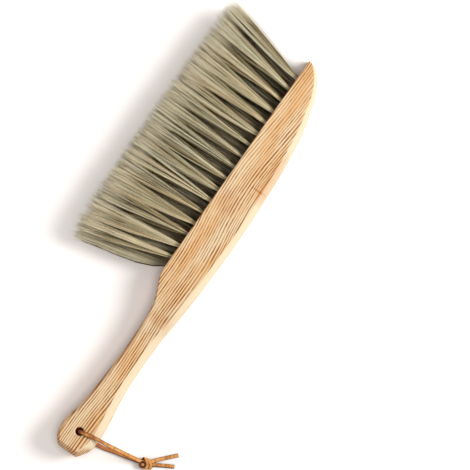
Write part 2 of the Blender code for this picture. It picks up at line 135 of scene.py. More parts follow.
class Value:
    """A node's output that takes part in sums, each of which adds a Math node."""

    def __init__(self, graph: Graph, socket: bpy.types.NodeSocket) -> None:
        """Keeps the socket and the graph that it belongs to."""
        self.graph = graph
        self.socket = socket

    def __add__(self, other: Term) -> Value:
        """Sum."""
        return self.graph.maths("ADD", self, other)

    def __radd__(self, other: Term) -> Value:
        """Sum with a number on the left."""
        return self.graph.maths("ADD", other, self)

    def __sub__(self, other: Term) -> Value:
        """Difference."""
        return self.graph.maths("SUBTRACT", self, other)

    def __rsub__(self, other: Term) -> Value:
        """Difference with a number on the left."""
        return self.graph.maths("SUBTRACT", other, self)

    def __mul__(self, other: Term) -> Value:
        """Product."""
        return self.graph.maths("MULTIPLY", self, other)

    def __rmul__(self, other: Term) -> Value:
        """Product with a number on the left."""
        return self.graph.maths("MULTIPLY", other, self)

    def __truediv__(self, other: Term) -> Value:
        """Quotient."""
        return self.graph.maths("DIVIDE", self, other)

    def __rtruediv__(self, other: Term) -> Value:
        """Quotient with a number on the left."""
        return self.graph.maths("DIVIDE", other, self)

    def __pow__(self, power: Term) -> Value:
        """Power."""
        return self.graph.maths("POWER", self, power)

    def __neg__(self) -> Value:
        """The same size with the other sign."""
        return self.graph.maths("MULTIPLY", self, -1.0)

    def floor(self) -> Value:
        """The whole number at or below it."""
        return self.graph.maths("FLOOR", self)

    def fract(self) -> Value:
        """What is left above the whole number."""
        return self.graph.maths("FRACT", self)

    def root(self) -> Value:
        """Square root."""
        return self.graph.maths("SQRT", self)

    def at_most(self, limit: Term) -> Value:
        """The smaller of the two."""
        return self.graph.maths("MINIMUM", self, limit)

    def at_least(self, limit: Term) -> Value:
        """The larger of the two."""
        return self.graph.maths("MAXIMUM", self, limit)

    def centred(self) -> Value:
        """How far a noise lies from its middle."""
        return self - NOISE_MIDDLE

    def scaled(self, least: float, gain: float) -> Value:
        """A factor that is least where the value is 0, and has grown by the gain where it is 1."""
        return least + gain * self

    def rise(self, low: Term, high: Term) -> Value:
        """A smooth step over the value.

        Args:
            low, high: Where the step starts and ends.

        Returns:
            0 where the value is low, 1 where it is high, and smooth between them.
        """
        return self.graph.value(
            "ShaderNodeMapRange", {"interpolation_type": "SMOOTHSTEP"},
            {"Value": self, "From Min": low, "From Max": high},
        )


Term = Union[Value, float, int]


class Graph:
    """A node tree that grows by one node or sum at a time."""

    MIX_SOCKETS = (6, 7, 2)

    def __init__(self, tree: bpy.types.NodeTree) -> None:
        """Keeps the tree."""
        self.tree = tree

    def node(
        self, kind: str, settings: Mapping[str, Any] | None = None,
        inputs: Mapping[str | int, Any] | None = None,
    ) -> bpy.types.Node:
        """Adds a node.

        Args:
            kind: The node's type.
            settings: What is set first. "stops" are a ramp's places and colours, and "points"
                are a curve's.
            inputs: The value or link of each socket, by its name or number.

        Returns:
            The new node.
        """
        node = self.tree.nodes.new(kind)
        for name, setting in (settings or {}).items():
            if name == "stops":
                self.set_stops(node.color_ramp, setting)
            elif name == "points":
                self.set_points(node.mapping, setting)
            else:
                setattr(node, name, setting)
        self.feed(node, inputs or {})
        return node

    def feed(self, node: bpy.types.Node, inputs: Mapping[str | int, Any]) -> None:
        """Sets or links a node's sockets.

        Args:
            node: The node.
            inputs: The value or link of each socket, by its name or number.
        """
        for name, term in inputs.items():
            if isinstance(term, Value):
                self.tree.links.new(term.socket, node.inputs[name])
            else:
                node.inputs[name].default_value = term

    @staticmethod
    def set_stops(ramp: bpy.types.ColorRamp, stops: Sequence[tuple[float, Colour]]) -> None:
        """Gives a ramp its stops.

        Args:
            ramp: The new ramp.
            stops: The place and colour of each stop, in order.
        """
        while len(ramp.elements) < len(stops):
            ramp.elements.new(1.0)
        for element, (place, colour) in zip(ramp.elements, stops):
            element.position = place
            element.color = colour

    @staticmethod
    def set_points(mapping: bpy.types.CurveMapping, points: Sequence[Pair]) -> None:
        """Gives a curve its points.

        Args:
            mapping: The new curve.
            points: Its points, in order.
        """
        curve = mapping.curves[0]
        while len(curve.points) < len(points):
            curve.points.new(1.0, 1.0)
        for point, place in zip(curve.points, points):
            point.location = place
        mapping.update()

    def value(
        self, kind: str, settings: Mapping[str, Any] | None = None,
        inputs: Mapping[str | int, Any] | None = None, output: int | str = 0,
    ) -> Value:
        """One output of a new node, ready for sums."""
        return Value(self, self.node(kind, settings, inputs).outputs[output])

    def maths(self, operation: str, *terms: Term) -> Value:
        """A Math node on one or two terms."""
        return self.value("ShaderNodeMath", {"operation": operation}, dict(enumerate(terms)))

    def vector(self, x: Term, y: Term, z: Term) -> Value:
        """A vector from its three numbers."""
        return self.value("ShaderNodeCombineXYZ", None, {0: x, 1: y, 2: z})

    def parts(self, vector: Value) -> tuple[Value, Value, Value]:
        """The three numbers of a vector."""
        outputs = self.node("ShaderNodeSeparateXYZ", None, {0: vector}).outputs
        return Value(self, outputs[0]), Value(self, outputs[1]), Value(self, outputs[2])

    def surface(self, output: str) -> tuple[Value, Value, Value]:
        """The three numbers of the surface's place, output Object, or of its normal."""
        return self.parts(self.value("ShaderNodeTexCoord", output=output))

    def attribute(self, name: str) -> Value:
        """A material's reading of a piece's named attribute."""
        return self.value("ShaderNodeAttribute", {"attribute_name": name}, output="Fac")

    def mix(
        self, share: Term, first: Value | Colour, second: Value | Colour, blend: str = "MIX",
    ) -> Value:
        """One colour laid over another.

        Args:
            share: How much of the second colour shows, from 0 to 1.
            first, second: The two colours.
            blend: The way that the second is laid on.

        Returns:
            The mixed colour.
        """
        at_first, at_second, result = self.MIX_SOCKETS
        return self.value(
            "ShaderNodeMix", {"data_type": "RGBA", "blend_type": blend, "clamp_factor": True},
            {0: share, at_first: first, at_second: second}, result,
        )

    def noise(self, place: Value, detail: float, roughness: float = 0.5) -> Value:
        """Smooth noise of about one lump to each unit of the place.

        Args:
            place: Where it is read.
            detail: How many finer sets of lumps it has.
            roughness: How strong the finer sets are.

        Returns:
            The noise, from 0 to 1.
        """
        return self.value(
            "ShaderNodeTexNoise", {"normalize": True},
            {"Vector": place, "Scale": 1.0, "Detail": detail, "Roughness": roughness},
        )

    def bump(self, height: Value, strength: float, depth: float) -> Value:
        """The surface's normal, tilted by its height.

        Args:
            height: How high the surface stands, from 0 to 1.
            strength: How much of the tilt shows.
            depth: What a height of 1 stands for.

        Returns:
            The normal.
        """
        return self.value(
            "ShaderNodeBump", None, {"Strength": strength, "Distance": depth, "Height": height},
            "Normal",
        )


@dataclass(frozen=True)
class Lumps:
    """A noise that can be longer along the wood than across it.

    Attributes:
        along: Its lumps to a metre along X.
        across: Its lumps to a metre along Y and Z.
        detail: How many finer sets of lumps it has.
        roughness: How strong the finer sets are.
    """

    along: float
    across: float
    detail: float
    roughness: float = 0.5

    def over(self, x: Value, y: Value, z: Value) -> Value:
        """The noise at the place x, y, z."""
        place = x.graph.vector(x * self.along, y * self.across, z * self.across)
        return x.graph.noise(place, self.detail, self.roughness)


@dataclass(frozen=True)
class Streaks:
    """Streaks of tone across the tips of a tuft.

    Attributes:
        lumps: Streaks to a metre.
        seed_step: How far the streaks of the next seed lie from those of this one.
        detail: How many finer sets of streaks there are.
        span: Where the smooth step from one tone to the other starts and ends.
    """

    lumps: float
    seed_step: float
    detail: float
    span: Pair

    def over(self, place: Value, seed: Value) -> Value:
        """The streaks at a place across the tips, from -1 to 1."""
        graph = place.graph
        lumps = graph.vector(place * self.lumps, seed * self.seed_step, 0.0)
        return graph.noise(lumps, self.detail).rise(*self.span) * 2.0 - 1.0


class Finish:
    """What all finishes share: the start of a Principled material."""

    @staticmethod
    def start(name: str) -> tuple[bpy.types.Material, Graph, bpy.types.Node]:
        """A new material with its graph and its shader."""
        material = bpy.data.materials.new(name)
        material.use_nodes = True
        return material, Graph(material.node_tree), material.node_tree.nodes["Principled BSDF"]


# Places and curves

@dataclass(frozen=True)
class Placement:
    """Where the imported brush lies.

    Attributes:
        neck: The neck corner, where the root plane meets the neck, on the floor. The shapes
            are measured from it.
        pivot: The hanging hole's axis, on the floor.
        thickness: The head's thickness.
    """

    neck: Vector
    pivot: Vector
    thickness: float

    @classmethod
    def read(cls, frame: Mapping[str, Any], head_length: float) -> Placement:
        """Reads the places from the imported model.

        Args:
            frame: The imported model's frame.
            head_length: The head's length, from the neck corner to the wood's tip.

        Returns:
            The places.
        """
        low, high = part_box("wooden_body")
        swing = next(joint for joint in frame["joints"] if joint["name"] == "lace_swing")
        return cls(
            neck=Vector((high.x - head_length, high.y, low.z)),
            pivot=Vector((swing["pos_m"][0], swing["pos_m"][1], low.z)),
            thickness=high.z - low.z,
        )


@dataclass(frozen=True)
class SmoothLine:
    """A curve without overshoot through points that are sorted by X."""

    points: tuple[Pair, ...]

    def slopes(self) -> list[float]:
        """Slope at each point.

        Returns:
            The slopes, each between those of the two straight lines that meet there.
        """
        steps = [
            (after[1] - before[1]) / (after[0] - before[0])
            for before, after in zip(self.points, self.points[1:])
        ]
        inner = [
            2.0 * before * after / (before + after) if before * after > 0.0 else 0.0
            for before, after in zip(steps, steps[1:])
        ]
        return [steps[0], *inner, steps[-1]]

    def at(self, x: float) -> float:
        """Height of the curve.

        Args:
            x: Where it is read. Past either end the curve stays level.

        Returns:
            The height.
        """
        last = len(self.points) - 2
        index = next((k for k in range(last) if x <= self.points[k + 1][0]), last)
        (x0, y0), (x1, y1) = self.points[index], self.points[index + 1]
        slopes = self.slopes()
        span = x1 - x0
        share = min(max((x - x0) / span, 0.0), 1.0)
        rise = share * share * (3.0 - 2.0 * share)
        leave = share * (1.0 - share) ** 2 * slopes[index] * span
        arrive = share * share * (share - 1.0) * slopes[index + 1] * span
        return y0 + (y1 - y0) * rise + leave + arrive


def smooth_route(places: Sequence[Vector], steps: int) -> list[Vector]:
    """Points of a smooth curve through places in space.

    Args:
        places: The places that it goes through.
        steps: How many steps each span takes.

    Returns:
        The points, ends included.
    """
    led = [2.0 * places[0] - places[1], *places, 2.0 * places[-1] - places[-2]]
    smooth = []
    for p0, p1, p2, p3 in zip(led, led[1:], led[2:], led[3:]):
        for step in range(steps):
            t = step / steps
            smooth.append(0.5 * (
                2.0 * p1 + (p2 - p0) * t
                + (2.0 * p0 - 5.0 * p1 + 4.0 * p2 - p3) * t ** 2
                + (3.0 * p1 - p0 - 3.0 * p2 + p3) * t ** 3
            ))
    return [*smooth, places[-1]]


def route_length(points: Sequence[Vector]) -> float:
    """Length of a line through points."""
    return sum((after - before).length for before, after in zip(points, points[1:]))


def add_piece(name: str, mesh: bpy.types.Mesh, material: bpy.types.Material | None) -> bpy.types.Object:
    """Puts a mesh in the scene as a piece at the origin, with its place in its mesh.

    Args:
        name: The piece's name.
        mesh: Its mesh.
        material: Its material, or None where it gets one later or needs none.

    Returns:
        The piece.
    """
    if material is not None:
        mesh.materials.clear()
        mesh.materials.append(material)
    piece = bpy.data.objects.new(name, mesh)
    bpy.context.scene.collection.objects.link(piece)
    return piece


def evaluated_mesh(piece: bpy.types.Object) -> bpy.types.Mesh:
    """A plain mesh of the piece as its modifiers make it."""
    graph = bpy.context.evaluated_depsgraph_get()
    return bpy.data.meshes.new_from_object(piece.evaluated_get(graph), depsgraph=graph)


def mesh_from(bm: bmesh.types.BMesh, name: str) -> bpy.types.Mesh:
    """Turns a bmesh into mesh data.

    Args:
        bm: The bmesh, which is freed.
        name: The mesh's name.

    Returns:
        The mesh, its faces outward.
    """
    bmesh.ops.recalc_face_normals(bm, faces=bm.faces)
    mesh = bpy.data.meshes.new(name)
    bm.to_mesh(mesh)
    bm.free()
    return mesh


def skin(bm: bmesh.types.BMesh, rings: Sequence[Sequence[bmesh.types.BMVert]]) -> None:
    """Adds faces between each closed ring of points and the next, and over both ends.

    Args:
        bm: The bmesh that holds the points.
        rings: The rings, each with as many points as the others.
    """
    count = len(rings[0])
    for ring, following in zip(rings, rings[1:]):
        for k in range(count):
            after = (k + 1) % count
            bm.faces.new((ring[k], ring[after], following[after], following[k]))
    bm.faces.new(rings[0][::-1])
    bm.faces.new(rings[-1])


def report(piece: bpy.types.Object, body: Body, nodes: Sequence[str]) -> None:
    """Puts a finished piece on its body and in place of its nodes.

    Args:
        piece: The finished piece.
        body: What it rides on.
        nodes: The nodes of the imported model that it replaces.
    """
    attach(piece, body.value)
    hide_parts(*nodes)
    LOG.info("%s: %d faces, rides on %s", piece.name, len(piece.data.polygons), body.value)


# Finishes

@dataclass(frozen=True)
class Patch:
    """An oval patch: its middle, its reach along and across the wood, and its strength."""

    x: float
    y: float
    reach_x: float
    reach_y: float
    share: float


@dataclass(frozen=True)
class AshFinish(Finish):
    """Sanded ash: pale wood with ragged brown rings that run along the brush and arch over
    the head, and a few darker patches. It has a painted highlight on the rounded back edge,
    which faces the light, painted shade on the front edge and the butt, which face away
    from it, and painted shade in the hanging hole.

    A span is where a smooth step starts and ends. A weight is a factor's least value and what
    a noise or a chance adds to it. A share is how strongly one colour lies over the others.
    Places are measured from the neck corner.
    """

    pale: Colour = paint(255, 226, 184)
    honey: Colour = paint(245, 186, 120)
    ring: Colour = paint(146, 86, 10)
    patch: Colour = paint(222, 150, 82)
    stain: Colour = paint(190, 112, 44)
    # Painted highlight for the rounded back edge, which faces the light, and painted shade for the front
    # edge and the butt, which face away from it
    painted_highlight: Colour = paint(248, 235, 206)
    painted_edge_shade: Colour = paint(170, 100, 54)
    # Painted shade for the inside of the hanging hole
    painted_bore_shade: Colour = paint(150, 42, 10)

    butt_end: float = -0.147
    length: float = 0.331
    ring_spacing: float = 0.00172
    ring_tilt: float = math.radians(24.0)
    bend_height: float = 0.014
    bend_shares: tuple[Pair, ...] = (
        (0.000, 0.22), (0.080, 0.21), (0.139, 0.13), (0.199, 0.08), (0.263, 0.12),
        (0.323, 0.24), (0.354, 0.31), (0.414, 0.33), (0.474, 0.31),
        (0.535, 0.40), (0.625, 0.68), (0.686, 0.79), (0.731, 0.81), (0.777, 0.75),
        (0.837, 0.61), (0.897, 0.49), (0.958, 0.44), (1.000, 0.43),
    )
    sway: Lumps = Lumps(16.0, 60.0, 3.0)
    sway_depth: float = 0.0016
    swell_lumps: Pair = (150.0, 2.0)
    swell_depth: float = 0.0026
    ring_start_span: Pair = (0.00, 0.18)
    ring_end_span: Pair = (0.34, 0.74)

    chance_weight: Pair = (0.57, 0.42)
    butt_strength: float = 1.24
    strength_loss: float = 0.29
    faint: Lumps = Lumps(26.0, 150.0, 1.0)
    faint_span: Pair = (0.34, 0.62)
    faint_weight: Pair = (0.80, 0.38)
    ragged: Lumps = Lumps(80.0, 900.0, 2.0, 0.6)
    ragged_span: Pair = (0.38, 0.62)
    ragged_weight: Pair = (0.55, 0.60)
    pores: Lumps = Lumps(330.0, 4500.0, 1.0)
    pore_span: Pair = (0.50, 0.66)
    pore_weight: Pair = (0.85, 0.35)
    ring_share: float = 1.10

    mottle: Lumps = Lumps(22.0, 110.0, 3.0)
    mottle_span: Pair = (0.35, 0.70)
    honey_share: float = 0.75
    patches: tuple[Patch, ...] = (
        Patch(0.097, -0.0275, 0.024, 0.0055, 0.75), Patch(0.066, -0.0100, 0.012, 0.0090, 0.35),
        Patch(-0.031, -0.0200, 0.007, 0.0100, 0.35), Patch(0.112, -0.0250, 0.012, 0.0040, 0.30),
        Patch(0.176, -0.0040, 0.012, 0.0050, 0.30),
    )
    patch_raggedness: float = 1.6
    cross_mark: Patch = Patch(0.0860, -0.0255, 0.0011, 0.0090, 0.70)
    cross_mark_height: Pair = (0.0270, 0.0292)
    cross_mark_wobble: float = 0.0012

    # Where the painted highlight and the painted edge shade lie, and how strong they are
    face_span: Pair = (0.90, 0.985)
    wall_span: Pair = (0.02, 0.30)
    butt_span: Pair = (0.04, 0.36)
    back_span: Pair = (0.05, 0.20)
    front_span: Pair = (0.10, 0.50)
    painted_highlight_weight: Pair = (0.25, 1.50)
    painted_highlight_share: float = 0.58
    painted_highlight_ring_loss: float = 0.78
    painted_edge_shade_share: float = 0.40
    # Where the painted shade in the hanging hole fades out
    bore_margin: float = -0.0001
    bore_fade: float = 0.0003

    fibre: Lumps = Lumps(260.0, 2600.0, 1.0)
    fibre_height: float = 0.25
    ring_groove: float = 0.70
    pore_groove: float = 0.50
    bump_strength: float = 0.30
    bump_depth: float = 0.00025
    roughness: Pair = (0.42, 0.20)
    gloss: float = 0.22

    def rings(self, share: Value, x: Value, y: Value, z: Value) -> tuple[Value, Value]:
        """The growth rings.

        Args:
            share: How far along the brush a place lies, from 0 at the butt to 1 at the tip.
            x, y, z: The place.

        Returns:
            1 in a ring's dark part and 0 in its pale part, and the ring's chance from 0 to 1.
        """
        graph = share.graph
        bend = graph.value("ShaderNodeFloatCurve", {"points": self.bend_shares}, {"Value": share})
        level = y - bend * self.bend_height
        depth = level * math.cos(self.ring_tilt) + z * math.sin(self.ring_tilt)
        depth = depth + self.sway.over(x, y, z).centred() * self.sway_depth
        deep, long = self.swell_lumps
        swell = graph.noise(graph.vector(depth * deep, x * long, 0.0), 0.0)
        count = (depth + swell.centred() * self.swell_depth) / self.ring_spacing
        within = count.fract()
        chance = graph.value(
            "ShaderNodeTexWhiteNoise", {"noise_dimensions": "1D"}, {"W": count.floor()},
        )
        dark = within.rise(*self.ring_start_span) * (1.0 - within.rise(*self.ring_end_span))
        return dark, chance

    def patched(self, colour: Value, mottle: Value, x: Value, y: Value, z: Value) -> Value:
        """The wood with its darker patches and the mark across its head.

        Args:
            colour: The wood's colour.
            mottle: Its mottle, which makes the patches ragged.
            x, y, z: The place.

        Returns:
            The new colour.
        """
        graph = colour.graph
        for patch in self.patches:
            across = (x - patch.x) / patch.reach_x
            up = (y - patch.y) / patch.reach_y
            ragged = mottle.centred() * self.patch_raggedness
            near = 1.0 - (across * across + up * up + ragged).rise(0.0, 1.0)
            colour = graph.mix(near * patch.share, colour, self.patch)
        mark = self.cross_mark
        across = (x - mark.x + mottle.centred() * self.cross_mark_wobble) / mark.reach_x
        up = (y - mark.y) / mark.reach_y
        near = (1.0 - (across * across + up * up).rise(0.0, 1.0)) * z.rise(*self.cross_mark_height)
        return graph.mix(near * mark.share, colour, self.stain)

    def painted_edge_light(self, mottle: Value) -> tuple[Value, Value]:
        """Painted highlight and painted shade on the rounded edges, from the way that the surface
        faces: the back faces the light, and the front and the butt face away from it.

        Args:
            mottle: The wood's mottle, which makes the painted highlight on the back edge uneven.

        Returns:
            How strong the painted highlight on the edge along the back is, and how strong the
            painted shade on the butt and front is.
        """
        normal_x, normal_y, normal_z = mottle.graph.surface("Normal")
        tilt = normal_z * normal_z
        edge = (1.0 - tilt.rise(*self.face_span)) * tilt.rise(*self.wall_span)
        at_butt = (-normal_x).rise(*self.butt_span)
        at_back = (-normal_y).rise(*self.back_span)
        painted_highlight = edge * at_back * (1.0 - at_butt) * mottle.scaled(*self.painted_highlight_weight)
        return painted_highlight, (normal_y.rise(*self.front_span) + at_butt).at_most(1.0)

    def bored(self, x: Value, y: Value, radius: float) -> Value:
        """How deep in the hanging hole a place lies.

        Args:
            x, y: The place from the hole's axis.
            radius: The hole's radius.

        Returns:
            1 in the hole and 0 outside it.
        """
        rim = radius + self.bore_margin
        return 1.0 - (x * x + y * y).root().rise(rim, rim + self.bore_fade)

    def material(self, neck: Vector, pivot: Vector, bore_radius: float) -> bpy.types.Material:
        """The wood's material.

        Args:
            neck: The neck corner, from which its pattern is measured.
            pivot: The hanging hole's axis.
            bore_radius: The hanging hole's radius.

        Returns:
            The material.
        """
        material, graph, shader = self.start("ash")
        x, y, z = graph.surface("Object")
        bored = self.bored(x - pivot.x, y - pivot.y, bore_radius)
        x, y = x - neck.x, y - neck.y
        share = (x - self.butt_end) / self.length
        dark, chance = self.rings(share, x, y, z)
        strength = chance.scaled(*self.chance_weight) * (self.butt_strength - share * self.strength_loss)
        faint = self.faint.over(x, y, z).rise(*self.faint_span)
        ragged = self.ragged.over(x, y, z).rise(*self.ragged_span)
        pores = self.pores.over(x, y, z).rise(*self.pore_span)
        strength = strength * faint.scaled(*self.faint_weight)
        grain = dark * strength * ragged.scaled(*self.ragged_weight) * pores.scaled(*self.pore_weight)

        mottle = self.mottle.over(x, y, z)
        colour = graph.mix(mottle.rise(*self.mottle_span) * self.honey_share, self.pale, self.honey)
        colour = self.patched(colour, mottle, x, y, z)
        # Painted highlight on the back edge, which also washes out its rings, and painted shade on the
        # front edge and the butt
        painted_highlight, painted_edge_shade = self.painted_edge_light(mottle)
        grain = grain * (1.0 - painted_highlight * self.painted_highlight_ring_loss)
        colour = graph.mix((grain * self.ring_share).at_most(1.0), colour, self.ring)
        colour = graph.mix(painted_highlight * self.painted_highlight_share, colour, self.painted_highlight)
        colour = graph.mix(painted_edge_shade * self.painted_edge_shade_share, colour, self.painted_edge_shade)
        # Painted shade in the hanging hole
        colour = graph.mix(bored, colour, self.painted_bore_shade)

        height = 1.0 - grain * self.ring_groove - pores * dark * self.pore_groove
        height = height + self.fibre.over(x, y, z) * self.fibre_height
        graph.feed(shader, {
            "Base Color": colour, "Roughness": grain.scaled(*self.roughness).at_least(bored),
            "Normal": graph.bump(height, self.bump_strength, self.bump_depth),
            "Specular IOR Level": self.gloss,
        })
        return material


@dataclass(frozen=True)
class HairFinish(Finish):
    """Bristle hair: each has its own tone, from dark brown to cream, and the light attribute
    of its tuft says how deep its painted shade is along it."""

    tones: tuple[tuple[float, Colour], ...] = (
        (0.00, paint(44, 33, 20)), (0.15, paint(94, 79, 54)), (0.32, paint(151, 134, 98)),
        (0.52, paint(205, 190, 150)), (0.78, paint(239, 226, 187)), (1.00, paint(255, 246, 220)),
    )
    # Painted shade colour, laid over a hair as far as its light attribute says
    shade: Colour = paint(54, 37, 17)
    cool: Colour = (0.97, 1.00, 0.97, 1.0)
    warm: Colour = (1.03, 0.965, 0.87, 1.0)
    # Paler colour that the hairs take towards their tips
    pale_tip: Colour = paint(255, 246, 222)
    tip_span: Pair = (0.76, 1.00)
    tip_share: float = 0.56
    tip_lift: float = 0.36
    contrast_middle: float = 0.62
    contrast_gain: float = 0.90
    roughness: float = 0.60
    gloss: float = 0.18

    def material(self) -> bpy.types.Material:
        """The hair's material, which reads the attributes that HairTree writes.

        Returns:
            The material.
        """
        material, graph, shader = self.start("bristle hair")
        tone, light, along, tint = (
            graph.attribute(name) for name in ("tone", "light", "along", "tint")
        )
        tone = tone + (tone - self.contrast_middle) * along * self.contrast_gain
        # The hair grows paler towards its tips
        tip = along.rise(*self.tip_span)
        tone = tone + tip * self.tip_lift
        own = graph.value("ShaderNodeValToRGB", {"stops": self.tones}, {0: tone})
        own = graph.mix(1.0, own, graph.mix(tint, self.cool, self.warm), "MULTIPLY")
        own = graph.mix(tip * self.tip_share, own, self.pale_tip)
        # The light attribute lays the painted shade colour over the hair
        graph.feed(shader, {
            "Base Color": graph.mix(light, self.shade, own), "Roughness": self.roughness,
            "Specular IOR Level": self.gloss,
        })
        return material


@dataclass(frozen=True)
class LeatherFinish(Finish):
    """Tan leather with a smooth face and darker, rougher cut sides. The dark sides are partly
    the leather's own cut edges and partly painted shade in the creases and loop of the knot,
    and painted shade darkens a strand where it lies low near the hanging hole.

    Spans, weights and shares are as in AshFinish. A run is how far along its strand a place
    lies, from 0 in the hanging hole to 1 at the tail's end.
    """

    near_hole: Colour = paint(166, 86, 34)
    near_end: Colour = paint(226, 156, 80)
    # Dark cut sides, which also stand for painted shade in the creases and loop of the knot
    cut: Colour = paint(62, 20, 6)
    mark: Colour = paint(255, 208, 130)
    rubbed: Colour = paint(150, 76, 30)
    # Painted shade for a strand where it lies low near the hanging hole
    painted_low_shade: Colour = paint(158, 76, 30)
    fade_run: Pair = (0.05, 0.75)
    cloud: Lumps = Lumps(180.0, 180.0, 3.0)
    mark_span: Pair = (0.45, 0.75)
    mark_share: float = 0.45
    rub_lumps: Triple = (34.0, 1.5, 300.0)
    rub_detail: float = 2.0
    rub_span: Pair = (0.48, 0.66)
    rub_share: float = 0.60
    # Where the painted low shade lies: low down, early in a strand's run
    painted_low_shade_height: Pair = (0.0028, 0.0060)
    painted_low_shade_run: Pair = (0.50, 0.66)
    painted_low_shade_share: float = 0.40
    cut_span: Pair = (0.66, 0.96)
    cut_weight: Pair = (0.80, 0.40)
    grain: Lumps = Lumps(2600.0, 2600.0, 2.0)
    grain_height: float = 0.60
    bump_strength: float = 0.35
    bump_depth: float = 0.0002
    roughness: Pair = (0.46, 0.25)
    gloss: float = 0.40

    def material(self) -> bpy.types.Material:
        """The leather's material, which follows the strip.

        Returns:
            The material.
        """
        material, graph, shader = self.start("leather")
        x, y, z = graph.surface("Object")
        side, run = graph.attribute("side"), graph.attribute("run")
        cloud, grain = self.cloud.over(x, y, z), self.grain.over(x, y, z)
        along, across, up = self.rub_lumps
        rubs = graph.noise(graph.vector(run * along, side * across, z * up), self.rub_detail)
        colour = graph.mix(run.rise(*self.fade_run), self.near_hole, self.near_end)
        colour = graph.mix(cloud.rise(*self.mark_span) * self.mark_share, colour, self.mark)
        colour = graph.mix(rubs.rise(*self.rub_span) * self.rub_share, colour, self.rubbed)
        # Painted shade where a strand lies low near the hanging hole
        low = (1.0 - z.rise(*self.painted_low_shade_height)) * (1.0 - run.rise(*self.painted_low_shade_run))
        colour = graph.mix(low * self.painted_low_shade_share, colour, self.painted_low_shade)
        # Dark cut sides: partly the leather's own edges, partly painted shade in the knot's creases
        cut = side.rise(*self.cut_span) * grain.scaled(*self.cut_weight)
        colour = graph.mix(cut, colour, self.cut)
        height = grain * self.grain_height + cloud
        graph.feed(shader, {
            "Base Color": colour, "Roughness": side.scaled(*self.roughness),
            "Normal": graph.bump(height, self.bump_strength, self.bump_depth),
            "Specular IOR Level": self.gloss,
        })
        return material


# Wooden body

